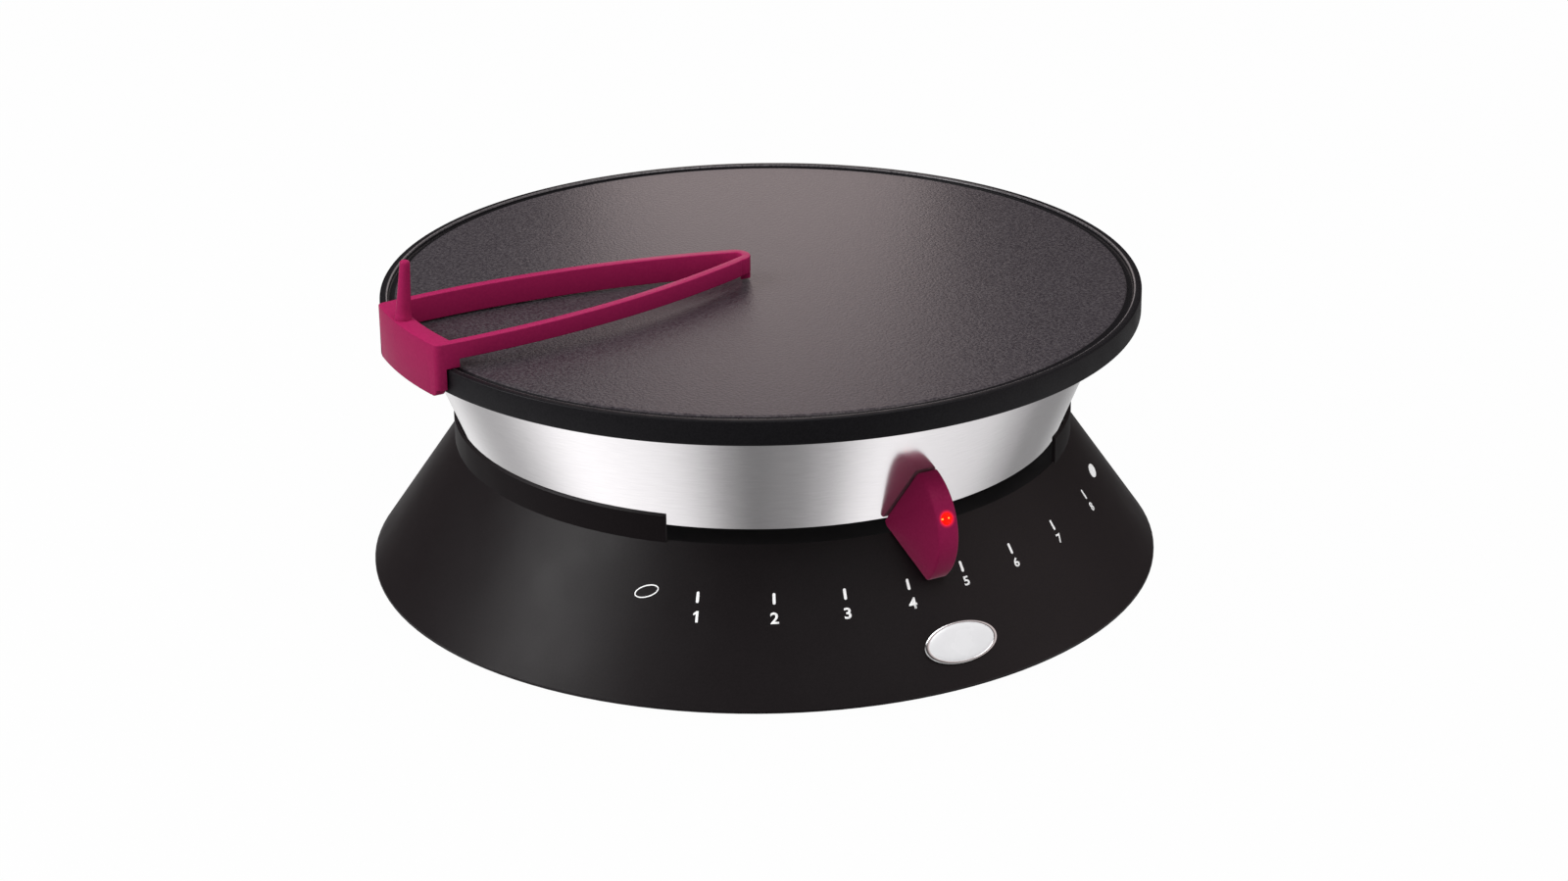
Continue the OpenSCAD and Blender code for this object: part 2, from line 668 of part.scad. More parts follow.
// Round sheet under the plate, with the holes that the whole stack shares
module stack_sheet(top_z, t, in_r, out_r) {
    difference() {
        translate([0, 0, top_z - t]) cylinder(r = out_r, h = t, $fn = 120);
        translate([0, 0, top_z - t - cut]) cylinder(r = in_r, h = t + 2 * cut, $fn = 96);
        for (a = stud_angles) at(a, stud_r, top_z - t - cut)
            cylinder(d = stud_d + 2 * hole_gap, h = t + 2 * cut);
        for (r = [outer_loop_r, inner_loop_r])
            translate([leg_pos(r).x, leg_pos(r).y, top_z - t - cut])
                cylinder(d = leg_hole_d, h = t + 2 * cut);
    }
}

module clamp_plate() color([0.6, 0.6, 0.6]) difference() {
    stack_sheet(clamp_top_z, clamp_t, clamp_in_r, clamp_out_r);
    // Room for the two bends of the element
    for (r = [outer_loop_r, inner_loop_r]) rotate([0, 0, element_start])
        translate([r - leg_hole_d / 2, -element_bend_r - 2, clamp_top_z - clamp_t - cut])
            cube([leg_hole_d, element_bend_r + 4, clamp_t + 2 * cut]);
}

module insulation_pad() color([0.9, 0.87, 0.75]) difference() {
    stack_sheet(pad_top_z, pad_t, clamp_in_r, clamp_out_r - 1);
    for (r = [outer_loop_r, inner_loop_r]) rotate([0, 0, element_start])
        translate([r - leg_hole_d / 2, -element_bend_r - 2, pad_top_z - pad_t - cut])
            cube([leg_hole_d, element_bend_r + 4, pad_t + 2 * cut]);
}

module heat_shield() color([0.75, 0.75, 0.77])
    stack_sheet(shield_top_z, shield_t, clamp_in_r - 2, clamp_out_r);

module plate_studs() color([0.62, 0.62, 0.64]) for (a = stud_angles)
    at(a, stud_r, stud_foot_z) cylinder(d = stud_d, h = stud_top_z - stud_foot_z);

module clamp_nuts() color([0.62, 0.62, 0.64]) for (a = stud_angles)
    at(a, stud_r, shield_top_z - shield_t - washer_t - nut_h)
        nut(stud_d + 0.1, washer_on_top = true);

module floor_nuts() color([0.62, 0.62, 0.64]) for (a = stud_angles)
    at(a, stud_r, drum_z - washer_t - nut_h) nut(stud_d + 0.1, washer_on_top = true);

// Saddle that holds the bulb against the plate
module sensor_clip() color([0.7, 0.7, 0.72]) translate([0, bulb_y, 0]) difference() {
    union() {
        intersection() {
            translate([-clip_l / 2, 0, bulb_z]) rotate([0, 90, 0])
                cylinder(d = bulb_d + 0.2 + 2 * clip_t, h = clip_l);
            translate([-clip_l / 2, -clip_ear, plate_under_z - 2 * bulb_d])
                cube([clip_l, 2 * clip_ear, 2 * bulb_d]);
        }
        translate([-clip_l / 2, -clip_ear - 4, plate_under_z - ear_t])
            cube([clip_l, 2 * clip_ear + 8, ear_t]);
    }
    translate([-clip_l, 0, bulb_z]) rotate([0, 90, 0])
        cylinder(d = bulb_d + 0.2, h = 2 * clip_l);
    translate([-clip_l, -bulb_d / 2 - 0.1, bulb_z]) cube([2 * clip_l, bulb_d + 0.2, bulb_d]);
    for (y = [-clip_ear, clip_ear]) translate([0, y, plate_under_z - ear_t - cut])
        cylinder(d = sensor_screw_d + 2 * hole_gap, h = ear_t + 2 * cut);
}

module thermal_cutout() color([0.25, 0.24, 0.24]) translate([0, cutout_y, plate_under_z]) {
    difference() {
        union() {
            translate([0, 0, -cutout_h]) cylinder(d = cutout_d, h = cutout_h);
            translate([-ear_x - 4, -4, -ear_t]) cube([2 * ear_x + 8, 8, ear_t]);
        }
        for (x = [-ear_x, ear_x]) translate([x, 0, -ear_t - cut])
            cylinder(d = sensor_screw_d + 2 * hole_gap, h = ear_t + 2 * cut);
    }
    for (x = [-4, 4]) translate([x - 2, -0.4, -cutout_h - 7]) cube([4, 0.8, 8]);
}

module sensor_screws() color([0.6, 0.6, 0.62]) for (p = sensor_screw_pos)
    translate([p.x, p.y, plate_under_z - ear_t]) screw_up(sensor_screw_d, sensor_screw_l, 5.5, 1.8);

// Leads ----------------------------------------------------------------------

module lead_grommets() color([0.1, 0.1, 0.1]) {
    for (seat = [[deck_under_z, deck_t], [drum_z, floor_t]])
        translate([0, grommet_y, seat[0]]) difference() {
            union() {
                cylinder(d = grommet_hole_d - 0.2, h = seat[1]);
                translate([0, 0, -1.2]) cylinder(d = grommet_hole_d + 3, h = 1.2);
                translate([0, 0, seat[1]]) cylinder(d = grommet_hole_d + 3, h = 1.2);
            }
            translate([0, 0, -2]) cylinder(d = grommet_bore_d, h = seat[1] + 4);
        }
}

module earth_tag() color([0.82, 0.7, 0.35]) translate([earth_pos.x, earth_pos.y, floor_top_z])
    difference() {
        union() {
            cylinder(d = 9, h = 0.8);
            translate([-14, -3.15, 0]) cube([12, 6.3, 0.8]);
        }
        translate([0, 0, -cut]) cylinder(d = earth_screw_d + 0.1, h = 3);
    }

module earth_screw() color([0.82, 0.7, 0.35]) translate([earth_pos.x, earth_pos.y, 0]) {
    translate([0, 0, drum_z - 3]) cylinder(d = earth_screw_d, h = floor_t + 3.8);
    translate([0, 0, floor_top_z + 0.8]) cylinder(d = 7.5, h = 2.4);
    difference() {
        translate([0, 0, drum_z - 2.6]) cylinder(d = 7.6, h = 2.6, $fn = 6);
        translate([0, 0, drum_z - 3]) cylinder(d = earth_screw_d - 0.5, h = 3.2);
    }
}

// Where a lead meets a tag of the thermostat, a pin of the element or a tag of the cut-out
function at_thermostat(x, drop) = [x, 6.4, deck_under_z - bracket_t - thermostat.z - 8 - end_gap - drop];
function at_pin(r, drop) = [leg_pos(r).x, leg_pos(r).y, element_leg_z - bead_h - pin_l - end_gap - drop];
function at_cutout(x, drop) = [x, cutout_y, plate_under_z - cutout_h - 7 - end_gap - drop];
function at_terminal(i, out) = terminal_pos
    + [12 * i, 5 - terminal_size.y / 2 - out, terminal_size.z / 2 + 2];

module supply_lead() color([0.45, 0.28, 0.16]) tube(curve([at_terminal(-1, 0), at_terminal(-1, 6),
    at_terminal(-1, 14), [terminal_pos.x - 2, thermostat.y / 2 + 45, run_z],
    [-14, thermostat.y / 2 + 5, run_z - 2], at_thermostat(-9, 5), at_thermostat(-9, 0)], 4), lead_d);

module live_lead() color([0.45, 0.28, 0.16]) tube(curve([at_thermostat(9, 0), at_thermostat(9, 5),
    [10, thermostat.y / 2 + 25, run_z], [7, grommet_y - 12, run_z + 6],
    [5, grommet_y + 4, deck_under_z - 20], in_grommet(90, deck_under_z - 7),
    in_grommet(90, deck_under_z), in_grommet(90, floor_top_z), in_grommet(90, floor_top_z + 5),
    [-5, grommet_y + 14, floor_top_z + 8], at_pin(outer_loop_r, 6), at_pin(outer_loop_r, 3),
    at_pin(outer_loop_r, 0)], 4), lead_d);

module neutral_lead() color([0.25, 0.35, 0.6]) tube(curve([at_terminal(0, 0), at_terminal(0, 6),
    at_terminal(0, 12),
    [-18, grommet_y, deck_under_z - 24], in_grommet(180, deck_under_z - 7), in_grommet(180, deck_under_z),
    in_grommet(180, floor_top_z), in_grommet(180, floor_top_z + 4), [-13, grommet_y - 8, floor_top_z + 8],
    [-22, inner_loop_r - 35, floor_top_z + 14], [-16, cutout_y + 30, floor_top_z + 24], at_cutout(-4, 7),
    at_cutout(-4, 3), at_cutout(-4, 0)], 4), lead_d);

module link_lead() color([0.75, 0.72, 0.66]) tube(curve([at_cutout(4, 0), at_cutout(4, 3),
    at_cutout(4, 7), [12, cutout_y + 30, floor_top_z + 24],
    [10, inner_loop_r - 35, floor_top_z + 16], at_pin(inner_loop_r, 6),
    at_pin(inner_loop_r, 3), at_pin(inner_loop_r, 0)], 4), lead_d);

module earth_lead() color([0.45, 0.55, 0.2]) tube(curve([at_terminal(1, 0), at_terminal(1, 6),
    at_terminal(1, 12),
    [-8, grommet_y - 2, deck_under_z - 24], in_grommet(270, deck_under_z - 7),
    in_grommet(270, deck_under_z), in_grommet(270, floor_top_z), in_grommet(270, floor_top_z + 4),
    [7, grommet_y - 5, floor_top_z + 6],
    [13, earth_pos.y - 1, floor_top_z + 3], [19, earth_pos.y, floor_top_z + 0.9 + lead_d / 2]], 4),
    lead_d);

// Heat control -----------------------------------------------------------------

// Turns the control from its middle position to where it rests
module resting() rotate([0, 0, control_mid + control_rest]) children();

// Everything that the knob slides along, made larger by its gap
module knob_walls() rotate_extrude($fn = fine) {
    low = base_z + base_edge_h;
    high = plate_under_z;
    polygon([[0, low], [base_r + knob_gap, low], [cone_top_r + knob_gap, cone_top_z + knob_gap],
        [drum_bottom_r + knob_gap, drum_z - knob_gap], [drum_top_r + knob_gap, high], [0, high]]);
}

// Points out of the knob along the lens's own axis, from a distance inside the crest
module on_crest(depth) translate([0, -knob_axis_r, knob_axis_z]) rotate([90 - lens_tilt, 0, 0])
    translate([0, 0, knob_r - depth]) children();

module control_knob() color([0.46, 0.11, 0.22]) resting() difference() {
    steep = atan(flank_w / knob_r);
    translate([0, -knob_axis_r, knob_axis_z]) rotate([0, 90, 0]) rotate_extrude($fn = 200)
        polygon(concat([[0, -knob_half]],
            arc([knob_r - crest_round, crest_round - crest_w / 2], crest_round, steep - 90, 0, 3),
            arc([knob_r - crest_round, crest_w / 2 - crest_round], crest_round, 0, 90 - steep, 3),
            [[0, knob_half]]));
    knob_walls();
    // Pocket for the end of the arm
    translate([-arm_w / 2, -arm_end_r, arm_z]) cube([arm_w, arm_end_r, arm_t]);
    // Room for the lens, the lamp and its lead
    on_crest(lens_depth + lamp_l + 0.3) cylinder(d = lens_d, h = lens_depth + lamp_l + cut);
    rod(lead_rise, lamp_back, lamp_lead_d + 0.8);
}

// Lens with its low dome
module indicator_lens() color([0.85, 0.1, 0.08]) {
    dome_h = 0.5;
    resting() on_crest(lens_depth) {
        cylinder(d = lens_d - 0.2, h = lens_depth - 0.2);
        translate([0, 0, lens_depth - 0.2])
            cylinder(d1 = lens_d - 0.2, d2 = lens_d - 1.8, h = dome_h);
    }
}

module indicator_lamp() color([0.95, 0.55, 0.3]) resting() on_crest(lens_depth + lamp_l)
    cylinder(d = lens_d - 0.6, h = lamp_l - 0.2);

// Where the lamp's lead leaves the arm, and the back of the lamp
lead_top_z = arm_z + arm_t + lamp_lead_d / 2;
lead_rise = [0, -drum_bottom_r, lead_top_z];
lamp_back_r = knob_r - lens_depth - lamp_l - 0.3;
lamp_back = [0, -knob_axis_r - lamp_back_r * cos(lens_tilt), knob_axis_z + lamp_back_r * sin(lens_tilt)];

module lamp_lead() color([0.7, 0.66, 0.6]) resting()
    tube([[0, -hub_d / 2 - 2, lead_top_z], lead_rise, lamp_back], lamp_lead_d);

module control_arm() color([0.62, 0.62, 0.64]) resting() difference() {
    translate([0, 0, arm_z]) union() {
        cylinder(d = arm_eye_d, h = arm_t);
        translate([-arm_w / 2, -arm_end_r, 0]) cube([arm_w, arm_end_r, arm_t]);
    }
    translate([0, 0, arm_z - cut]) cylinder(d = hub_top_d + 0.1, h = arm_t + 2 * cut);
    for (x = [-rivet_r, rivet_r]) translate([x, 0, arm_z - cut])
        cylinder(d = rivet_d + 0.1, h = arm_t + 2 * cut);
}

module control_hub() color([0.8, 0.78, 0.72]) resting() difference() {
    union() {
        translate([0, 0, hub_z]) cylinder(d = hub_d, h = arm_z - hub_z);
        translate([0, 0, hub_z]) cylinder(d = hub_top_d, h = hub_top_z - hub_z);
    }
    translate([0, 0, hub_z - cut]) cylinder(d = spindle_d + 0.1, h = hub_top_z - hub_z + 2 * cut);
    for (x = [-rivet_r, rivet_r]) translate([x, 0, hub_z - cut])
        cylinder(d = rivet_d + 0.1, h = arm_z - hub_z + 2 * cut);
    translate([0, 0, (hub_z + arm_z) / 2]) rotate([-90, 0, 0])
        cylinder(d = set_screw_d + 0.1, h = hub_d);
}

module arm_rivets() color([0.7, 0.7, 0.7]) resting() for (x = [-rivet_r, rivet_r]) translate([x, 0, 0]) {
    translate([0, 0, hub_z]) cylinder(d = rivet_d, h = arm_z + arm_t - hub_z);
    translate([0, 0, arm_z + arm_t]) cylinder(d1 = rivet_head_d, d2 = rivet_d, h = 0.8);
}

module hub_set_screw() color([0.4, 0.4, 0.42]) resting()
    translate([0, spindle_d / 2 - flat_depth, (hub_z + arm_z) / 2]) rotate([-90, 0, 0])
        cylinder(d = set_screw_d, h = hub_d / 2 - spindle_d / 2 + flat_depth - 0.2);

module thermostat_spindle() color([0.7, 0.7, 0.72]) resting() difference() {
    translate([0, 0, spindle_foot_z + 0.1]) cylinder(d = spindle_d, h = hub_top_z - spindle_foot_z - 0.3);
    translate([-spindle_d, spindle_d / 2 - flat_depth, hub_z]) cube([2 * spindle_d, spindle_d, 12]);
}

// Spreader -----------------------------------------------------------------------
// Drawn pointing to the front, then turned to lie along -X

// Each long side is an arc from the nose to the rim; side 1 is trailing and -1 is leading
nose_c = [-nose_side, -nose_out];
nose_turn = 22;
function near_end(side) = nose_c + nose_r * [side * cos(nose_turn), sin(nose_turn)];
function far_end(side) = [side * spreader_w / 2, -(plate_r - lip_w)];
function chord(side) = far_end(side) - near_end(side);
function bow_r(side) = chord(side) * chord(side) / (8 * spreader_bow) + spreader_bow / 2;
function bow_c(side) = let (d = unit(chord(side)))
    (near_end(side) + far_end(side)) / 2 - side * (bow_r(side) - spreader_bow) * [-d.y, d.x];

// Middle of the rounded corner between a long side and the outer face
function corner(side) = let (ra = bow_r(side) - corner_r, rb = hook_out_r - corner_r,
    d = norm(bow_c(side)), along = (rb * rb - ra * ra + d * d) / (2 * d),
    off = side * sqrt(rb * rb - along * along), to_c = unit(bow_c(side)))
    along * to_c + off * [-to_c.y, to_c.x];

module leaf(inset, far_r, end_r) intersection() {
    for_side(1) circle(r = bow_r(1) - inset, $fn = fine);
    for_side(-1) circle(r = bow_r(-1) - inset, $fn = fine);
    circle(r = far_r, $fn = fine);
    union() {
        translate(nose_c) circle(r = end_r, $fn = 96);
        translate([-spreader_w, -2 * hook_out_r - nose_out])
            square([2 * spreader_w, 2 * hook_out_r]);
    }
}

module for_side(side) translate(bow_c(side)) children();

module spreader_outline() {
    difference() {
        leaf(0, hook_out_r, nose_r);
        for (side = [-1, 1]) corner_wedge(side);
    }
    for (side = [-1, 1]) translate(corner(side)) circle(r = corner_r);
}

// The sharp corner outside its rounding
module corner_wedge(side) {
    reach = 3 * corner_r;
    to_side = unit(corner(side) - bow_c(side));
    to_face = unit(corner(side));
    polygon([corner(side), corner(side) + reach * to_side,
        corner(side) + reach * (to_side + to_face), corner(side) + reach * to_face]);
}

module spreader() color([0.6, 0.14, 0.33]) rotate([0, 0, spreader_az]) {
    difference() {
        intersection() {
            translate([0, 0, hook_z]) linear_extrude(height = spreader_top_z - hook_z) spreader_outline();
            // Rounded lower corners of the hook
            rotate([90, 0, 0]) translate([0, hook_z, 0]) linear_extrude(height = 2 * plate_r)
                union() {
                    translate([-spreader_w, corner_r]) square([2 * spreader_w, spreader_top_z]);
                    translate([-spreader_w / 2 + 2 * corner_r, 0])
                        square([spreader_w - 4 * corner_r, 2 * corner_r]);
                    for (x = [-1, 1]) translate([x * (spreader_w / 2 - 1.6 * corner_r), corner_r])
                        circle(r = corner_r);
                }
        }
        // Room over the plate and its rim
        translate([0, 0, hook_z - cut]) cylinder(r = hook_in_r, h = spreader_z - hook_z + cut, $fn = fine);
        // Trough
        translate([0, 0, hook_z]) linear_extrude(height = 2 * (spreader_top_z - hook_z))
            leaf(spreader_wall, end_in_r, nose_r - nose_wall);
        // Gap that lets the batter out under the trailing side, as far as the foot of the nose
        intersection() {
            translate([nose_foot_w - nose_side, -plate_r, spreader_z - cut])
                cube([spreader_w, plate_r, batter_gap + cut]);
            translate([0, 0, spreader_z - cut]) cylinder(r = batter_r, h = batter_gap + cut, $fn = fine);
        }
    }
    // Grip pin, its foot sunk far enough in the end wall for its lean
    translate([-pin_offset, -sqrt(pin_r * pin_r - pin_offset * pin_offset), spreader_top_z - cut])
        rotate([-pin_lean, 0, 0])
        rotate_extrude() polygon(concat([[0, -1], [pin_foot_d / 2, -1], [pin_foot_d / 2, cut + 0.6],
            [pin_foot_d / 2 - 0.6, cut + 3]],
            arc([pin_top_d / 2 - 1.4, pin_h + cut - 1.4], 1.4, 0, 90, 4), [[0, pin_h + cut]]));
}

base_shell();
bottom_cover();
rubber_feet();
cover_screws();
cable_gland();
badge_plate();
terminal_block();
thermostat_body();
thermostat_screws();
capillary_sensor();
steel_drum();
drum_floor();
drum_screws();
drum_nuts();
griddle_plate();
heating_element();
element_terminals();
clamp_plate();
insulation_pad();
heat_shield();
plate_studs();
clamp_nuts();
floor_nuts();
sensor_clip();
thermal_cutout();
sensor_screws();
lead_grommets();
earth_tag();
earth_screw();
supply_lead();
live_lead();
neutral_lead();
link_lead();
earth_lead();
control_knob();
indicator_lens();
indicator_lamp();
lamp_lead();
control_arm();
control_hub();
arm_rivets();
hub_set_screw();
thermostat_spindle();
spreader();
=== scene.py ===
# %% [markdown]
# # An electric crepe maker
#
# A round non-stick griddle stands on a tapered steel drum. A conical black base holds the drum,
# and a burgundy control slides round the front of it. A burgundy trough spreader hangs on the rim
# and is swept round the plate by its pin.
#
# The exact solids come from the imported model, in metres, with the table at z = 0 and the front
# towards -Y. This script gives them their looks. It refines the pieces that the eye rests on,
# and leaves every size as it is.

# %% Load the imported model
from math import atan2, cos, hypot, radians, sin

import bmesh
import bpy
from mathutils import Matrix, Vector


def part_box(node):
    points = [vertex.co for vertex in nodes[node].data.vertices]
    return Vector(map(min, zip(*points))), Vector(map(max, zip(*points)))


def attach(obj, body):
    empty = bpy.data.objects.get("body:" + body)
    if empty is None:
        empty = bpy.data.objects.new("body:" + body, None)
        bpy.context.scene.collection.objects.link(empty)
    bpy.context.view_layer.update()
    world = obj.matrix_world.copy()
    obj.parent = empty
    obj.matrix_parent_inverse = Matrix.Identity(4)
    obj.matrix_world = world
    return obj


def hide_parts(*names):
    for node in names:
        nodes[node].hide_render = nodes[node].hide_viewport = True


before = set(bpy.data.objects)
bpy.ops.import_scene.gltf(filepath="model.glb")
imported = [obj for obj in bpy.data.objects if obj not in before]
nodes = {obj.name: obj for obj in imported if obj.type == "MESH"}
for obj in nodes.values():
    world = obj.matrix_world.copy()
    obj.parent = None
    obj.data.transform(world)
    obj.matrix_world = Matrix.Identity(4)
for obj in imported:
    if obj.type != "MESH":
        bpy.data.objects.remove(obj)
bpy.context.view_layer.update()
MM = 0.001  # a millimetre in the model's metres

# %% [markdown]
# ## The camera
#
# The photograph was taken from the front left, a little above the plate, with a long lens.
# The camera is placed by its three axes, because they were worked out from the ellipses
# of the plate, the drum and the base, and a matrix takes them as they are.

# %% Camera
CAMERA_PLACE = Vector((-0.7172642, -1.2939789, 0.6654862))
CAMERA_RIGHT = Vector((0.8690, -0.4947, -0.0113)).normalized()
CAMERA_BACK = Vector((-0.4534, -0.8053, 0.3820)).normalized()
CAMERA_AZIMUTH = -29.0
FOCAL_LENGTH, SENSOR_WIDTH = 77.668, 36.0

lens = bpy.data.cameras.new("camera")
lens.lens = FOCAL_LENGTH
lens.sensor_width = SENSOR_WIDTH
camera = bpy.data.objects.new("camera", lens)
bpy.context.scene.collection.objects.link(camera)
up = CAMERA_BACK.cross(CAMERA_RIGHT)
camera.matrix_world = Matrix.Translation(CAMERA_PLACE) @ Matrix(
    (CAMERA_RIGHT, up, CAMERA_BACK)).transposed().to_4x4()
bpy.context.scene.camera = camera
bpy.context.scene.view_settings.view_transform = "Standard"
print("camera looks from azimuth", CAMERA_AZIMUTH)

# %% [markdown]
# ## Helpers
#
# Every operator works on what is selected, so each helper clears the selection first. The rest
# are the small jobs that every made piece needs: its place goes into its mesh, its faces turn
# outwards, its open rings are closed, it is shaded and it gets its finishes.

# %% Selection helpers
DOUBLE = 0.001  # points nearer than this are one point, in mm


def clear():
    """Leaves edit mode and selects nothing."""
    if bpy.context.object and bpy.context.object.mode != "OBJECT":
        bpy.ops.object.mode_set(mode="OBJECT")
    bpy.ops.object.select_all(action="DESELECT")


def only(piece):
    """Makes piece the one object that operators act on."""
    clear()
    piece.select_set(True)
    bpy.context.view_layer.objects.active = piece


def edit(piece, choose="SELECT"):
    """Opens piece in edit mode with all or nothing selected."""
    only(piece)
    bpy.ops.object.mode_set(mode="EDIT")
    bpy.ops.mesh.select_all(action=choose)


def settle(piece, name):
    """Names a piece and moves its place into its mesh."""
    only(piece)
    bpy.ops.object.transform_apply(location=True, rotation=True, scale=True)
    piece.name = name
    piece.data.name = name
    return piece


def smooth(piece, angle=35):
    """Shades a piece smooth, apart from edges sharper than angle."""
    only(piece)
    bpy.ops.object.shade_smooth_by_angle(angle=radians(angle))
    return piece


def outward(piece):
    """Merges doubles and turns every face outwards."""
    edit(piece)
    bpy.ops.mesh.remove_doubles(threshold=DOUBLE * MM)
    bpy.ops.mesh.normals_make_consistent(inside=False)
    bpy.ops.object.mode_set(mode="OBJECT")


def cap(piece):
    """Closes every open ring of a piece with a face."""
    edit(piece, "DESELECT")
    bpy.ops.mesh.select_mode(type="EDGE")
    bpy.ops.mesh.select_non_manifold()
    bpy.ops.mesh.edge_face_add()
    bpy.ops.object.mode_set(mode="OBJECT")


def wear(piece, *finishes):
    """Gives a piece its finishes, the first of them for every face."""
    piece.data.materials.clear()
    for made in finishes:
        piece.data.materials.append(made)


# %% [markdown]
# ## Finishes
#
# Real moulded plastic, coated metal and sheet steel are never one flat colour. One helper makes
# a finish from a noise pattern in object coordinates: it varies the colour between two tones,
# varies the roughness, and raises a fine relief. Wider patches of gloss, such as handling and
# wiping leave on a large moulding, can follow a second, coarser noise. Sheet that was brushed
# while it turned gets its grain stretched and its highlights drawn out round the axis.

# %% A procedural finish
SPREAD = (0.35, 0.65)  # the part of the noise's range that goes from dark to light
GRAIN_DETAIL, PATCH_DETAIL = 3, 2


def finish(name, dark, light, grain, rough, relief=0.0, metal=0.0, stretch=(1, 1, 1),
           patches=None, turned=False, **sockets):
    """Returns a material. grain, relief and patches are in mm, rough is (least, most)."""
    made = bpy.data.materials.new(name)
    made.use_nodes = True
    tree = made.node_tree
    shader = tree.nodes["Principled BSDF"]
    place = tree.nodes.new("ShaderNodeTexCoord")
    turn = tree.nodes.new("ShaderNodeMapping")
    turn.inputs["Scale"].default_value = stretch
    tree.links.new(place.outputs["Object"], turn.inputs["Vector"])
    noise = tree.nodes.new("ShaderNodeTexNoise")
    noise.inputs["Scale"].default_value = 1 / (grain * MM)
    noise.inputs["Detail"].default_value = GRAIN_DETAIL
    tree.links.new(turn.outputs["Vector"], noise.inputs["Vector"])
    ramp = tree.nodes.new("ShaderNodeValToRGB")
    for stop, position, tone in zip(ramp.color_ramp.elements, SPREAD, (dark, light)):
        stop.position = position
        stop.color = (*tone, 1)
    tree.links.new(noise.outputs["Fac"], ramp.inputs["Fac"])
    tree.links.new(ramp.outputs["Color"], shader.inputs["Base Color"])
    sheen = tree.nodes.new("ShaderNodeMapRange")
    for socket, value in zip(("From Min", "From Max", "To Min", "To Max"), (*SPREAD, *rough)):
        sheen.inputs[socket].default_value = value
    source = noise
    if patches:
        source = tree.nodes.new("ShaderNodeTexNoise")
        source.inputs["Scale"].default_value = 1 / (patches * MM)
        source.inputs["Detail"].default_value = PATCH_DETAIL
        tree.links.new(place.outputs["Object"], source.inputs["Vector"])
    tree.links.new(source.outputs["Fac"], sheen.inputs["Value"])
    tree.links.new(sheen.outputs["Result"], shader.inputs["Roughness"])
    if relief:
        bump = tree.nodes.new("ShaderNodeBump")
        bump.inputs["Distance"].default_value = relief * MM
        tree.links.new(noise.outputs["Fac"], bump.inputs["Height"])
        tree.links.new(bump.outputs["Normal"], shader.inputs["Normal"])
    if turned:
        round_z = tree.nodes.new("ShaderNodeTangent")
        round_z.direction_type = "RADIAL"
        round_z.axis = "Z"
        tree.links.new(round_z.outputs["Tangent"], shader.inputs["Tangent"])
    shader.inputs["Metallic"].default_value = metal
    for socket, value in sockets.items():
        shader.inputs[socket.replace("_", " ")].default_value = value
    return made


# %% The finishes of this object
COAT = finish("nonstick_coating", (0.024, 0.020, 0.026), (0.066, 0.059, 0.066), 1.3,
              (0.30, 0.42), relief=0.22, Specular_Tint=(1.0, 0.83, 0.80, 1))
STEEL = finish("brushed_drum", (0.81, 0.785, 0.80), (0.87, 0.845, 0.86), 9, (0.10, 0.15),
               metal=0.92, stretch=(1, 1, 60), turned=True, Anisotropic=0.5,
               Anisotropic_Rotation=0.25)
RIM = finish("coated_rim", (0.0075, 0.0070, 0.0085), (0.0125, 0.0115, 0.0135), 0.8,
             (0.40, 0.48), relief=0.012, patches=12, Specular_IOR_Level=0.1)
# Painted highlight: a lighter line along the lip's inner edge, also glossier than the rim
LIP_HIGHLIGHT = finish("lip_edge", (0.050, 0.046, 0.050), (0.110, 0.102, 0.108), 1.5,
                  (0.26, 0.34), relief=0.01, Specular_IOR_Level=0.6)
COLLAR = finish("collar_plastic", (0.0085, 0.0064, 0.0072), (0.0115, 0.0086, 0.0096), 0.7,
                (0.48, 0.54), relief=0.012, patches=30, Specular_IOR_Level=0.05)
SHELL = finish("base_plastic", (0.0088, 0.0064, 0.0074), (0.0120, 0.0088, 0.0100), 0.7,
               (0.40, 0.46), relief=0.012, patches=30, Specular_IOR_Level=0.2)
BURGUNDY = finish("burgundy_moulding", (0.310, 0.013, 0.080), (0.342, 0.016, 0.088), 1.2,
                  (0.30, 0.36), relief=0.006, patches=9, Specular_IOR_Level=0.04)
# The print's emission is a painted glow, which makes it whiter than the light on it
PRINT = finish("white_print_painted_glow", (0.88, 0.88, 0.88), (0.94, 0.94, 0.94), 0.6, (0.45, 0.55),
               relief=0.004, Emission_Color=(1, 1, 1, 1), Emission_Strength=0.22)
# The badge's faint emission is a painted glow that lifts the pale field
BADGE = finish("pale_enamel_painted_glow", (0.89, 0.89, 0.91), (0.93, 0.93, 0.95), 12, (0.24, 0.30),
               Coat_Weight=0.6, Coat_Roughness=0.06, Emission_Color=(1, 1, 1, 1),
               Emission_Strength=0.06)
CHROME = finish("bright_edge", (0.72, 0.72, 0.73), (0.80, 0.80, 0.81), 3, (0.14, 0.2),
                metal=1.0)
LENS = finish("ruby_lens", (0.90, 0.05, 0.02), (0.98, 0.07, 0.03), 2, (0.04, 0.08),
              Transmission_Weight=0.9, IOR=1.2, Emission_Color=(1.0, 0.02, 0.01, 1),
              Emission_Strength=0.25)
GLOW = finish("lamp_glow", (0.9, 0.02, 0.01), (1.0, 0.03, 0.01), 1, (0.5, 0.6),
              Emission_Color=(1.0, 0.02, 0.01, 1), Emission_Strength=1.2)
SPARK = finish("lamp_spark", (1.0, 0.6, 0.2), (1.0, 0.7, 0.3), 1, (0.5, 0.6),
               Emission_Color=(1.0, 0.50, 0.16, 1), Emission_Strength=40.0)
# Painted shade: a near-black colour for the slot between collar and drum, where the drum shades it
SLOT_SHADE = finish("slot_painted_shade", (0.0030, 0.0024, 0.0028), (0.0042, 0.0034, 0.0038), 0.7,
                (0.55, 0.62), relief=0.012, patches=30, Specular_IOR_Level=0.06)
RUBBER = finish("rubber", (0.020, 0.020, 0.021), (0.030, 0.030, 0.031), 0.8, (0.70, 0.80),
                relief=0.03)
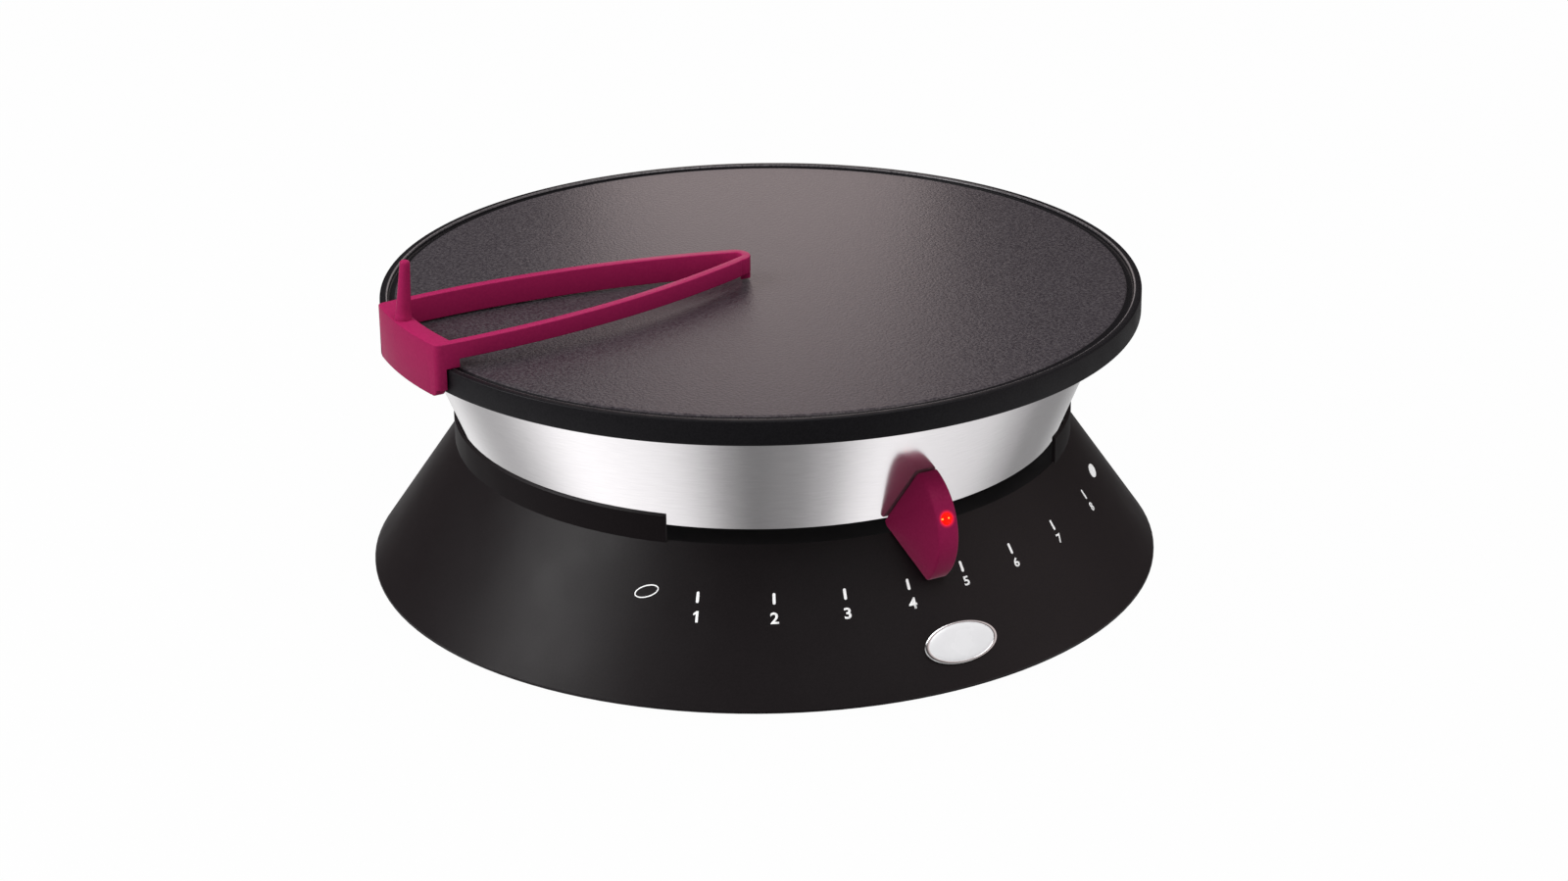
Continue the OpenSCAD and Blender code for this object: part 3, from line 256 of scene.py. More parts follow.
NYLON = finish("black_nylon", (0.014, 0.014, 0.015), (0.020, 0.020, 0.021), 1.0, (0.45, 0.55),
               relief=0.01)
ZINC = finish("zinc_plate", (0.50, 0.50, 0.51), (0.62, 0.62, 0.63), 2.5, (0.28, 0.40),
              relief=0.006, metal=1.0)
SHEET = finish("aluminised_sheet", (0.48, 0.48, 0.49), (0.58, 0.58, 0.60), 6, (0.36, 0.48),
               relief=0.01, metal=1.0)
BRASS = finish("brass", (0.62, 0.42, 0.16), (0.72, 0.50, 0.20), 3, (0.25, 0.38), metal=1.0)
COPPER = finish("copper_capillary", (0.62, 0.30, 0.18), (0.72, 0.36, 0.22), 3, (0.28, 0.4),
                metal=1.0)
HEATED = finish("heater_tube", (0.10, 0.095, 0.09), (0.16, 0.15, 0.14), 4, (0.45, 0.6),
                relief=0.02, metal=0.6)
CERAMIC = finish("ceramic", (0.70, 0.68, 0.62), (0.78, 0.76, 0.70), 1.2, (0.5, 0.62),
                 relief=0.01)
WOOL = finish("mineral_wool", (0.52, 0.46, 0.30), (0.72, 0.66, 0.48), 1.6, (0.9, 0.98),
              relief=0.5)
BROWN = finish("brown_insulation", (0.12, 0.045, 0.02), (0.17, 0.065, 0.03), 1.2,
               (0.4, 0.55), relief=0.01)
BLUE = finish("blue_insulation", (0.02, 0.06, 0.22), (0.03, 0.085, 0.30), 1.2, (0.4, 0.55),
              relief=0.01)
GREEN = finish("green_insulation", (0.06, 0.16, 0.03), (0.40, 0.36, 0.04), 3, (0.4, 0.55),
               relief=0.01)
SLEEVE = finish("glass_sleeve", (0.55, 0.52, 0.46), (0.70, 0.67, 0.60), 0.8, (0.75, 0.85),
                relief=0.05)
print("finishes:", len(bpy.data.materials))

# %% [markdown]
# ## What each imported solid wears
#
# Most pieces are one material all over, so one table says which finish goes on which solids.
# The base is one moulding but doesn't look the same everywhere: the cone is satin and the collar
# round the drum is duller. The slot between collar and drum is deep, and its shade is painted
# into its colour, which is almost black. The base's faces are told apart by where they lie and
# how steep they are.

# %% Finishes on the imported solids
WORN_BY = {
    COAT: ["griddle_plate"],
    STEEL: ["steel_drum"],
    SHELL: ["base_shell", "bottom_cover"],
    BURGUNDY: ["control_knob", "spreader"],
    BADGE: ["badge_plate"],
    LENS: ["indicator_lens"],
    GLOW: ["indicator_lamp"],
    RUBBER: ["rubber_feet", "lead_grommets"],
    NYLON: ["cable_gland", "thermostat_body", "thermal_cutout"],
    ZINC: ["cover_screws", "thermostat_screws", "drum_screws", "drum_nuts", "plate_studs",
           "clamp_nuts", "floor_nuts", "sensor_screws", "arm_rivets", "hub_set_screw",
           "thermostat_spindle", "sensor_clip", "control_arm"],
    SHEET: ["drum_floor", "clamp_plate", "heat_shield"],
    BRASS: ["earth_tag", "earth_screw"],
    COPPER: ["capillary_sensor"],
    HEATED: ["heating_element"],
    CERAMIC: ["terminal_block", "element_terminals", "control_hub"],
    WOOL: ["insulation_pad"],
    BROWN: ["supply_lead", "live_lead"],
    BLUE: ["neutral_lead"],
    GREEN: ["earth_lead"],
    SLEEVE: ["link_lead", "lamp_lead"],
}
for made, names in WORN_BY.items():
    for name in names:
        wear(nodes[name], made)

# %% The base's three looks, one of them painted shade in the slot
SLOT_R, SLOT_Z, COLLAR_Z = 143.4, 40.0, 65.2  # in mm
STEEP = 0.5  # a wall's normal points up or down by less than this
shell = nodes["base_shell"]
wear(shell, SHELL, SLOT_SHADE, COLLAR)
for face in shell.data.polygons:
    x, y, z = face.center / MM
    # Faces in the slot get the painted shade, and the collar's walls get the duller finish
    if hypot(x, y) < SLOT_R and z > SLOT_Z and face.normal.z > -STEEP:
        face.material_index = 1
    elif z > COLLAR_Z and face.normal.z < STEEP:
        face.material_index = 2
print("dressed:", sum(len(v) for v in WORN_BY.values()), "of", len(nodes))

# %% [markdown]
# ## Shapes that several pieces use
#
# The cone of the base carries the badge and the printed scale, so one helper gives the place
# and the three axes of a point on its slope. A flat piece is made lying on the table plane
# and is then carried there by that matrix.

# %% The slope of the base, by the radius and height of its two ends
BASE_FOOT = (185.3, 5.2)
CONE_TOP = (144.0, 65.0)
CONE_TILT = atan2(BASE_FOOT[0] - CONE_TOP[0], CONE_TOP[1] - BASE_FOOT[1])
print("the cone's side leans by", round(CONE_TILT, 3), "radians")


def on_cone(azimuth, z):
    """A matrix to the cone's surface: X along it to the right, Y up its slope, Z out of it."""
    a = radians(azimuth)
    share = (z - BASE_FOOT[1]) / (CONE_TOP[1] - BASE_FOOT[1])
    r = BASE_FOOT[0] + (CONE_TOP[0] - BASE_FOOT[0]) * share
    out = Vector((sin(a), -cos(a), 0))
    right = Vector((cos(a), sin(a), 0))
    rise = -out * sin(CONE_TILT) + Vector((0, 0, cos(CONE_TILT)))
    normal = out * cos(CONE_TILT) + Vector((0, 0, sin(CONE_TILT)))
    place = Matrix.Translation((out * r + Vector((0, 0, z))) * MM)
    return place @ Matrix((right, rise, normal)).transposed().to_4x4()


def carry(piece, matrix, name):
    """Places a flat piece by matrix and moves its place into its mesh."""
    piece.matrix_world = matrix
    return settle(piece, name)


def joined(parts, name):
    """Joins parts into one piece."""
    only(parts[0])
    for part in parts[1:]:
        part.select_set(True)
    bpy.ops.object.join()
    return settle(bpy.context.object, name)


# %% [markdown]
# ## The griddle plate
#
# The real plate is cast aluminium, turned on a lathe and coated: a flat cooking surface, a bevel
# that falls into a narrow drip groove, a raised lip and a deep outer wall. It could be drawn as
# a curve and screwed round. Here a circle is extruded and resized from ring to ring, as it is
# done by hand, because each ring is a (radius, height) point of the section, which reads like
# a turner's drawing. The corners are then bevelled.

# %% Lathe helper
NEAR = 2e-5  # an edge this near a corner of the section, in metres, is that corner's


def lathe(name, section, steps=256, soft=(), soft_w=0.8):
    """A round shell from (radius, height) points in mm, open or closed at the axis.

    soft lists the numbers of the section's corners that a bevel of soft_w mm rounds."""
    clear()
    (r0, z0), rest = section[0], section[1:]
    bpy.ops.mesh.primitive_circle_add(vertices=steps, radius=r0 * MM, location=(0, 0, z0 * MM))
    turned = settle(bpy.context.object, name)
    edit(turned)
    r_now, z_now = r0, z0
    for r, z in rest:
        bpy.ops.mesh.extrude_region_move(TRANSFORM_OT_translate={"value": (0, 0, (z - z_now) * MM)})
        if r > 0:
            bpy.ops.transform.resize(value=(r / r_now, r / r_now, 1),
                                     center_override=(0, 0, z * MM))
        else:
            bpy.ops.mesh.merge(type="CENTER")
        r_now, z_now = (r, z) if r > 0 else (r_now, z)
    bpy.ops.object.mode_set(mode="OBJECT")
    outward(turned)
    if soft:
        edit(turned, "DESELECT")
        bpy.ops.mesh.select_mode(type="EDGE")
        bpy.ops.object.mode_set(mode="OBJECT")
        corners = [section[i] for i in soft]
        for edge in turned.data.edges:
            a, b = (turned.data.vertices[v].co for v in edge.vertices)
            for r, z in corners:
                if all(abs(hypot(c.x, c.y) - r * MM) < NEAR and abs(c.z - z * MM) < NEAR
                       for c in (a, b)):
                    edge.select = True
        bpy.ops.object.mode_set(mode="EDIT")
        bpy.ops.mesh.bevel(offset=soft_w * MM, segments=4, profile=0.5)
        bpy.ops.object.mode_set(mode="OBJECT")
    return smooth(turned)


# %% The plate's section, from the axis underneath round to the axis on top
PLATE_UNDER, SURFACE, LIP, RIM_FOOT = 127.9, 134.9, 135.4, 124.1
PLATE_R, LIP_IN, GROOVE_IN, BEVEL_R, GROOVE_Z = 176.0, 172.4, 170.4, 168.4, 133.3
RIM_IN, FILLET, AXIS_R = 171.0, 2.0, 0.5
PLATE_SECTION = [
    (AXIS_R, PLATE_UNDER), (RIM_IN - FILLET, PLATE_UNDER), (RIM_IN, PLATE_UNDER - FILLET),
    (RIM_IN, RIM_FOOT), (PLATE_R, RIM_FOOT), (PLATE_R, LIP), (LIP_IN, LIP), (LIP_IN, GROOVE_Z),
    (GROOVE_IN, GROOVE_Z), (BEVEL_R, SURFACE), (AXIS_R, SURFACE)]
ROUNDED = (4, 5, 6, 7, 8, 9)  # from the rim's foot, over the lip and the groove, to the bevel
griddle = lathe("griddle", PLATE_SECTION, soft=ROUNDED)
cap(griddle)
print("griddle faces:", len(griddle.data.polygons))

# %% Bosses under the plate, where the studs are screwed in
BOSS_D, BOSS_REACH, BOSS_R, BOSS_SINK, BOSS_EDGE = 14.0, 8.1, 62.0, 0.02, 0.5
BOSS_AZIMUTHS = (-60, 60, 180)
bosses = []
for azimuth in BOSS_AZIMUTHS:
    clear()
    a = radians(azimuth)
    bpy.ops.mesh.primitive_cylinder_add(
        vertices=48, radius=BOSS_D / 2 * MM, depth=BOSS_REACH * MM,
        location=(BOSS_R * sin(a) * MM, -BOSS_R * cos(a) * MM,
                  (PLATE_UNDER - BOSS_REACH / 2 + BOSS_SINK) * MM))
    boss = settle(bpy.context.object, "boss")
    edit(boss)
    bpy.ops.mesh.bevel(offset=BOSS_EDGE * MM, segments=2)
    bpy.ops.object.mode_set(mode="OBJECT")
    bosses.append(smooth(boss))
griddle = joined([griddle] + bosses, "griddle")
print("bosses:", len(bosses))

# %% The cooking surface, the rim and the painted highlight along the lip's inner edge
LINE_W = 0.75  # width of the painted highlight line, in mm
COAT_R, COAT_T = BEVEL_R + 0.7, 3.0  # where the coated top ends, outwards and downwards, in mm
wear(griddle, COAT, RIM, LIP_HIGHLIGHT)
for face in griddle.data.polygons:
    far, z = hypot(face.center.x, face.center.y) / MM, face.center.z / MM
    # The faces along the lip's inner edge get the painted highlight
    if LIP_IN < far < LIP_IN + LINE_W and z > LIP - LINE_W:
        face.material_index = 2
    else:
        face.material_index = 1 if far > COAT_R or z < SURFACE - COAT_T else 0
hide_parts("griddle_plate")
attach(griddle, "casing")
print("the plate wears:", [made.name for made in griddle.data.materials])

# %% [markdown]
# ## The spreader and the knob
#
# Both are injection moulded, so every edge has a small radius that catches a line of light.
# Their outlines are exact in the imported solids, so drawing them again would only lose shape.
# A copy of each solid's mesh is merged, cleared of the seams in its flat faces and bevelled
# along the edges that are left. On the spreader only the outer edges are rounded: its grip pin
# stands so near the edges of the end wall that a rounded foot would run into them.

# %% Softened copy of a solid
SHARP = 28  # degrees between two faces, from which their edge is rounded
SEAM, FLAT = 0.004, 1.0  # what is welded, in mm, and what counts as one face, in degrees
ROUND_STEPS = 3


def softened(node, name, width, hollows=True):
    """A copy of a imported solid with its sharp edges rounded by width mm.

    With hollows=False the inner corners stay sharp and only the outer edges are rounded."""
    clear()
    piece = bpy.data.objects.new(name, nodes[node].data.copy())
    bpy.context.scene.collection.objects.link(piece)
    only(piece)
    if piece.data.has_custom_normals:
        bpy.ops.mesh.customdata_custom_splitnormals_clear()
    edit(piece)
    bpy.ops.mesh.remove_doubles(threshold=SEAM * MM)
    bpy.ops.mesh.dissolve_limited(angle_limit=radians(FLAT))
    bpy.ops.mesh.select_all(action="DESELECT")
    bpy.ops.object.mode_set(mode="OBJECT")
    if not hollows:
        solid = bmesh.new()
        solid.from_mesh(piece.data)
        outer = [float(edge.is_convex and edge.calc_face_angle(0) > radians(SHARP))
                 for edge in solid.edges]
        solid.free()
        weight = piece.data.attributes.new("bevel_weight_edge", "FLOAT", "EDGE")
        weight.data.foreach_set("value", outer)
    round_off = piece.modifiers.new("soft edges", "BEVEL")
    round_off.width = width * MM
    round_off.segments = ROUND_STEPS
    round_off.limit_method = "ANGLE" if hollows else "WEIGHT"
    round_off.angle_limit = radians(SHARP)
    round_off.use_clamp_overlap = hollows
    bpy.ops.object.modifier_apply(modifier=round_off.name)
    smooth(piece, angle=40)
    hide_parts(node)
    return piece


# %% Spreader
trough = softened("spreader", "trough_spreader", 0.4, hollows=False)
wear(trough, BURGUNDY)
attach(trough, "spreader")
print("spreader faces:", len(trough.data.polygons))

# %% Knob
knob = softened("control_knob", "heat_knob", 0.5)
wear(knob, BURGUNDY)
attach(knob, "heat_control")
print("knob faces:", len(knob.data.polygons))

# %% [markdown]
# ## The indicator
#
# A ruby lens is pressed into the crest of the knob, and a small lamp glows behind it. The lens is
# turned on the same lathe as the plate, with a shallow dome. The lamp is a short pellet with two
# bright sparks side by side, which are what the eye sees through the lens. Some of its light
# leaks into the plastic round the lens, so the knob's finish glows there and fades outwards.

# %% The axis of the indicator
KNOB_AXIS_R, KNOB_AXIS_Z, KNOB_R, CREST_TILT, KNOB_REST = 140.4, 67.0, 27.9, 21.0, -0.8
LENS_R, LENS_T, LAMP_R, LAMP_T, SPARK_R = 2.7, 1.3, 2.45, 3.6, 0.36
LENS_SUNK, SPARK_GAP, SPARK_SIDE, SPARK_SHIFT = 0.1, 0.05, 1.45, 0.3


def on_crest(reach):
    """A matrix to the indicator's axis, reach mm out from the knob's own axis, Z outwards."""
    turn = Matrix.Rotation(radians(KNOB_REST), 4, "Z")
    foot = Matrix.Translation(Vector((0, -KNOB_AXIS_R, KNOB_AXIS_Z)) * MM)
    tip = Matrix.Rotation(radians(90 - CREST_TILT), 4, "X")
    return turn @ foot @ tip @ Matrix.Translation((0, 0, reach * MM))


# %% Lens
DOME_SECTION = [(AXIS_R, 0), (LENS_R, 0), (LENS_R, LENS_T - 0.5), (2.5, LENS_T - 0.18),
                (2.0, LENS_T), (1.2, LENS_T + 0.14), (0, LENS_T + 0.2)]
dome = lathe("ruby_dome", DOME_SECTION, steps=64)
cap(dome)
wear(dome, LENS)
carry(dome, on_crest(KNOB_R - LENS_SUNK - LENS_T), "ruby_dome")
smooth(dome, angle=60)
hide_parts("indicator_lens")
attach(dome, "heat_control")

# %% Lamp
LAMP_SECTION = [(AXIS_R, 0), (LAMP_R, 0), (LAMP_R, LAMP_T - 1), (LAMP_R - 0.5, LAMP_T),
                (0, LAMP_T)]
pellet = lathe("lamp_body", LAMP_SECTION, steps=48)
cap(pellet)
wear(pellet, GLOW)
parts = [pellet]
for side in (-1, 1):
    clear()
    bpy.ops.mesh.primitive_uv_sphere_add(
        segments=16, ring_count=8, radius=SPARK_R * MM,
        location=((side * SPARK_SIDE + SPARK_SHIFT) * MM, 0, LAMP_T * MM))
    spark = settle(bpy.context.object, "spark")
    wear(spark, SPARK)
    parts.append(smooth(spark, angle=60))
glow = joined(parts, "lamp_glow")
carry(glow, on_crest(KNOB_R - LENS_SUNK - LENS_T - LAMP_T - SPARK_R - SPARK_GAP), "lamp_pellet")
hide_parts("indicator_lamp")
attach(glow, "heat_control")

# %% The glow in the plastic round the lens
GLOW_NEAR, GLOW_FAR, GLOW_PEAK = 2.4, 4.4, 0.75
GLOW_RED = (1.0, 0.012, 0.012, 1)
LIT = BURGUNDY.copy()
LIT.name = "lit_moulding"
tree = LIT.node_tree
away = tree.nodes.new("ShaderNodeVectorMath")
away.operation = "DISTANCE"
away.inputs[1].default_value = on_crest(KNOB_R).translation
fade = tree.nodes.new("ShaderNodeMapRange")
fade.interpolation_type = "SMOOTHSTEP"
for socket, value in (("From Min", GLOW_NEAR * MM), ("From Max", GLOW_FAR * MM),
                      ("To Min", GLOW_PEAK), ("To Max", 0.0)):
    fade.inputs[socket].default_value = value
coordinates = next(n for n in tree.nodes if n.type == "TEX_COORD")
tree.links.new(coordinates.outputs["Object"], away.inputs[0])
tree.links.new(away.outputs["Value"], fade.inputs["Value"])
shader = tree.nodes["Principled BSDF"]
shader.inputs["Emission Color"].default_value = GLOW_RED
tree.links.new(fade.outputs["Result"], shader.inputs["Emission Strength"])
knob.data.materials[0] = LIT

# %% [markdown]
# ## The badge
#
# An oval badge is let into the slope under the scale: a pale enamelled field, slightly domed,
# inside a thin bright edge. It could be drawn as a curve with a bevel. Here it is a disc whose
# face is inset and lifted ring by ring, for the groove inside the edge and for the dome, and
# which is then widened to an oval.

# %% Badge
BADGE_L, BADGE_W, BADGE_T, BADGE_UP, BADGE_RIM, BADGE_PROUD = 36.0, 18.0, 0.9, 19.0, 0.8, 0.02
BADGE_RINGS = [(0.35, 0.2), (0.45, -0.05), (0.12, -0.12), (0.25, 0.14), (0.8, 0.16),
               (1.6, 0.14), (2.2, 0.07)]  # how far in and how far up each ring goes, in mm
clear()
bpy.ops.mesh.primitive_circle_add(vertices=96, radius=BADGE_W / 2 * MM, fill_type="NGON")
badge = settle(bpy.context.object, "badge_oval")
edit(badge)
bpy.ops.mesh.extrude_region_move(TRANSFORM_OT_translate={"value": (0, 0, BADGE_T * MM)})
for inset, lift in BADGE_RINGS:
    bpy.ops.mesh.inset(thickness=inset * MM, depth=lift * MM)
bpy.ops.object.mode_set(mode="OBJECT")
for v in badge.data.vertices:
    v.co.x = v.co.x * BADGE_L / BADGE_W
outward(badge)
smooth(badge, angle=50)
print("badge faces:", len(badge.data.polygons))

# %% The badge's field and edge, and its place on the slope
wear(badge, BADGE, CHROME)
for face in badge.data.polygons:
    x, y = face.center.x / (BADGE_L / 2 * MM), face.center.y / (BADGE_W / 2 * MM)
    face.material_index = 1 if hypot(x, y) > 1 - BADGE_RIM * 2 / BADGE_W else 0
badge_z = BASE_FOOT[1] + BADGE_UP * cos(CONE_TILT)
carry(badge, on_cone(0, badge_z) @ Matrix.Translation((0, 0, BADGE_PROUD * MM)), "badge_oval")
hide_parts("badge_plate")
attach(badge, "casing")

# %% [markdown]
# ## The printed scale
#
# Ring, ticks, figures and dot are pad printed on the slope in white. They could be painted in the
# finish of the base, but there they would need a drawing of every figure. As thin pieces they
# keep crisp edges: each is a flat shape with 0.1 mm of body that stands 0.05 mm proud.

# %% Scale marks
PRINT_T, PRINT_PROUD = 0.1, 0.05
TICK_L, TICK_W, RING_LINE = 5.0, 1.3, 0.5
# The azimuth of each figure and its tick
TICKS = {"1": -39.7, "2": -27.65, "3": -16.4, "4": -5.8, "5": 4.4, "6": 15.1, "7": 27.0,
         "8": 41.1}
# Height of the ticks, height of the figures and size of the figures, left and right of the knob
LEFT_FIGURES, LEFT_ROW, RIGHT_ROW = "1234", (45.3, 38.3, 5.0), (47.0, 41.5, 4.2)
# Azimuth and height, length and width of the ring at the cold end and of the dot at the hot end
RING_PLACE, RING_SIZE, RING_TURN = (-48.1, 45.7), (11.2, 5.4), 22
DOT_PLACE, DOT_SIZE, DOT_TURN = (50.8, 47.9), (10.5, 6.0), 0
TEXT_SIZE, BOLD, WIDEN = 0.01, 0.00022, 1.15
MIDDLE = 1e-7  # in metres; points up to this height belong to a stroke's lower half
ONE = [(0.20, -0.50), (0.20, 0.50), (0.03, 0.50), (-0.24, 0.28), (-0.24, 0.10), (-0.02, 0.22),
       (-0.02, -0.50)]  # corners of the figure 1, for a height of 1
marks = []


def printed(piece, azimuth, z):
    """Gives a flat shape its body and lays it on the slope."""
    edit(piece)
    bpy.ops.mesh.remove_doubles(threshold=DOUBLE * MM)
    bpy.ops.mesh.extrude_region_move(TRANSFORM_OT_translate={"value": (0, 0, PRINT_T * MM)})
    bpy.ops.mesh.select_all(action="SELECT")
    bpy.ops.mesh.normals_make_consistent(inside=False)
    bpy.ops.object.mode_set(mode="OBJECT")
    sink = Matrix.Translation((0, 0, (PRINT_PROUD - PRINT_T) * MM))
    marks.append(carry(piece, on_cone(azimuth, z) @ sink, "mark"))


def stroke(length, width):
    """A round-ended stroke, up and down the slope."""
    clear()
    bpy.ops.mesh.primitive_circle_add(vertices=24, radius=width / 2 * MM, fill_type="NGON")
    bar = settle(bpy.context.object, "mark")
    for v in bar.data.vertices:
        v.co.y += (1 if v.co.y > MIDDLE else -1) * (length - width) / 2 * MM
    return bar


def figure_one(height):
    """A figure 1 with its flag: a flat disc of seven corners pulled to the outline."""
    clear()
    bpy.ops.mesh.primitive_circle_add(vertices=len(ONE), radius=MM, fill_type="NGON")
    made = settle(bpy.context.object, "mark")
    loop = [made.data.vertices[i] for i in made.data.polygons[0].vertices]
    for corner, (x, y) in zip(loop, ONE):
        corner.co = (x * height * MM, y * height * MM, 0)
    return made


def digit(figure, height):
    """A figure of the built-in sans letter, made bold, centred on its own middle."""
    if figure == "1":
        return figure_one(height)
    clear()
    bpy.ops.object.text_add()
    text = bpy.context.object
    text.data.body = figure
    text.data.size = TEXT_SIZE
    text.data.offset = BOLD
    bpy.ops.object.convert(target="MESH")
    made = bpy.context.object
    xs = [v.co.x for v in made.data.vertices]
    ys = [v.co.y for v in made.data.vertices]
    grow = height * MM / (max(ys) - min(ys))
    middle = Vector(((max(xs) + min(xs)) / 2, (max(ys) + min(ys)) / 2, 0))
    made.data.transform(Matrix.Diagonal((grow * WIDEN, grow, grow, 1))
                        @ Matrix.Translation(-middle))
    return made


def oval_mark(length, height, turn, line=0.0):
    """A flat oval, filled or drawn with a line."""
    clear()
    bpy.ops.mesh.primitive_circle_add(vertices=64, radius=0.5 * MM, fill_type="NGON")
    shape = settle(bpy.context.object, "mark")
    shape.data.transform(Matrix.Diagonal((length, height, 1, 1)))
    if line:
        edit(shape)
        bpy.ops.mesh.inset(thickness=line * MM)
        bpy.ops.mesh.delete(type="FACE")
        bpy.ops.object.mode_set(mode="OBJECT")
    shape.data.transform(Matrix.Rotation(radians(turn), 4, "Z"))
    return shape


# %% The marks in their places
for figure, azimuth in TICKS.items():
    tick_z, figure_z, size = LEFT_ROW if figure in LEFT_FIGURES else RIGHT_ROW
    printed(stroke(TICK_L, TICK_W), azimuth, tick_z)
    printed(digit(figure, size), azimuth, figure_z)
printed(oval_mark(*RING_SIZE, RING_TURN, line=RING_LINE), *RING_PLACE)
printed(oval_mark(*DOT_SIZE, DOT_TURN), *DOT_PLACE)
scale = joined(marks, "printed_scale")
wear(scale, PRINT)
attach(scale, "casing")
print("printed scale:", len(TICKS), "ticks")

# %% [markdown]
# ## The floor
#
# The object was photographed on white paper that shows no shadow. The floor here is a large
# sheet that looks evenly white to the camera and is a mid grey for the light that it sends back
# up. It lies a hair below the feet, and its underside is clear, so that the object can also be
# looked at from below.
#
# The brushed drum mirrors a bright studio and not the black cone under it. So the floor, the
# badge, the print and every piece that ends below the top of the collar stay out of reflections.

# %% Floor
FLOOR_SIZE, FLOOR_DROP, FLOOR_GREY, FLOOR_WHITE = 12.0, 0.1, 0.35, 0.985
MIRRORED_Z = 0.080  # in metres; pieces that end below it stay out of reflections
clear()
bpy.ops.mesh.primitive_plane_add(size=FLOOR_SIZE, location=(0, 0, -FLOOR_DROP * MM))
floor = settle(bpy.context.object, "floor")
paper = bpy.data.materials.new("paper_floor")
paper.use_nodes = True
tree = paper.node_tree
shader = tree.nodes["Principled BSDF"]
shader.inputs["Base Color"].default_value = (FLOOR_GREY, FLOOR_GREY, FLOOR_GREY, 1)
shader.inputs["Roughness"].default_value = 0.9
white = tree.nodes.new("ShaderNodeEmission")
path = tree.nodes.new("ShaderNodeLightPath")
share = tree.nodes.new("ShaderNodeMath")
share.operation = "MULTIPLY"
share.inputs[1].default_value = FLOOR_WHITE
blend = tree.nodes.new("ShaderNodeMixShader")
tree.links.new(path.outputs["Is Camera Ray"], share.inputs[0])
tree.links.new(share.outputs[0], blend.inputs["Fac"])
tree.links.new(shader.outputs[0], blend.inputs[1])
tree.links.new(white.outputs[0], blend.inputs[2])
one_sided = tree.nodes.new("ShaderNodeMixShader")
tree.links.new(tree.nodes.new("ShaderNodeNewGeometry").outputs["Backfacing"],
               one_sided.inputs["Fac"])
tree.links.new(blend.outputs[0], one_sided.inputs[1])
tree.links.new(tree.nodes.new("ShaderNodeBsdfTransparent").outputs[0], one_sided.inputs[2])
tree.links.new(one_sided.outputs[0], tree.nodes["Material Output"].inputs["Surface"])
wear(floor, paper)
print("floor:", FLOOR_SIZE, "m wide")

# %% What stays out of reflections
floor.visible_glossy = scale.visible_glossy = badge.visible_glossy = False
for name, node in nodes.items():
    node.visible_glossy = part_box(name)[1].z > MIRRORED_Z
print("in reflections:", sum(node.visible_glossy for node in nodes.values()), "of", len(nodes))

# %% [markdown]
# ## The studio
#
# The world does three jobs, told apart by the kind of ray that meets it. What the camera sees is
# plain white. What lights matt surfaces is an even sky, brighter towards the top. What polished
# surfaces mirror is a studio of panels, given as levels by their angle from the camera. The drum
# leans outwards and mirrors only directions far below the horizon, so the panels there are its
# own and draw its light and dark bands. The rest mirrors mostly the dim, slightly warm panels
# above, which leave the black plastics black. One lighter panel on the right lifts the cone.

# %% The studio's levels
LOW_STUDIO = [(-180, 0.66), (-158, 0.82), (-136, 0.47), (-117, 0.66), (-98, 1.20), (-76, 1.20),
              (-46, 0.90), (-30, 0.52), (-12, 0.23), (8, 0.23), (26, 0.34), (42, 0.60),
              (60, 1.05), (80, 0.98), (112, 0.74), (129, 0.37), (140, 0.28), (154, 0.36),
              (180, 0.66)]
HIGH_STUDIO = [(-180, 0.06), (-70, 0.08), (0, 0.05), (48, 0.05), (66, 0.50), (88, 1.00),
               (108, 0.40), (130, 0.06), (180, 0.06)]
NEUTRAL, WARM = (1.0, 1.0, 1.0), (1.0, 0.86, 0.84)
STUDIO_PEAK = 4.0  # a ramp holds colours up to 1, so levels are divided by this and raised again
STUDIO_STEP = (-0.30, -0.15)  # from the low panels to the high ones, as heights of a direction
CEILING_STEP, CEILING_SHARE = (0.75, 0.98), 0.2  # the panels straight above are dimmer
SKY_STEP, SKY_LOW, SKY_HIGH = (0.0, 0.8), 0.26, 0.80

# %% World, with the direction of a ray as an angle round the object and as a height
world = bpy.data.worlds.new("studio")
bpy.context.scene.world = world
world.use_nodes = True
tree = world.node_tree
coord = tree.nodes.new("ShaderNodeTexCoord")
turn = tree.nodes.new("ShaderNodeMapping")
turn.inputs["Rotation"].default_value = (0, 0, radians(90 - CAMERA_AZIMUTH))
ring = tree.nodes.new("ShaderNodeTexGradient")
ring.gradient_type = "RADIAL"
tree.links.new(coord.outputs["Generated"], turn.inputs["Vector"])
tree.links.new(turn.outputs["Vector"], ring.inputs["Vector"])
height = tree.nodes.new("ShaderNodeSeparateXYZ")
tree.links.new(coord.outputs["Generated"], height.inputs[0])

# %% Levels by angle and by height
def studio_ramp(levels, tint, curve):
    """A ramp of tinted levels round the object, by angle from the camera in degrees."""
    ramp = tree.nodes.new("ShaderNodeValToRGB")
    ramp.color_ramp.interpolation = curve
    stops = ramp.color_ramp.elements
    while len(stops) < len(levels):
        stops.new(0.5)
    for stop, (angle, level) in zip(stops, levels):
        stop.position = 0.5 + angle / 360
        stop.color = (*[level / STUDIO_PEAK * channel for channel in tint], 1)
    tree.links.new(ring.outputs["Fac"], ramp.inputs["Fac"])
    return ramp.outputs["Color"]


def by_height(low, high, at_low, at_high):
    """A number that goes from at_low to at_high as a direction's height goes from low to high."""
    step = tree.nodes.new("ShaderNodeMapRange")
    step.interpolation_type = "SMOOTHSTEP"
    for socket, value in (("From Min", low), ("From Max", high), ("To Min", at_low),
                          ("To Max", at_high)):
        step.inputs[socket].default_value = value
    tree.links.new(height.outputs["Z"], step.inputs["Value"])
    return step.outputs["Result"]


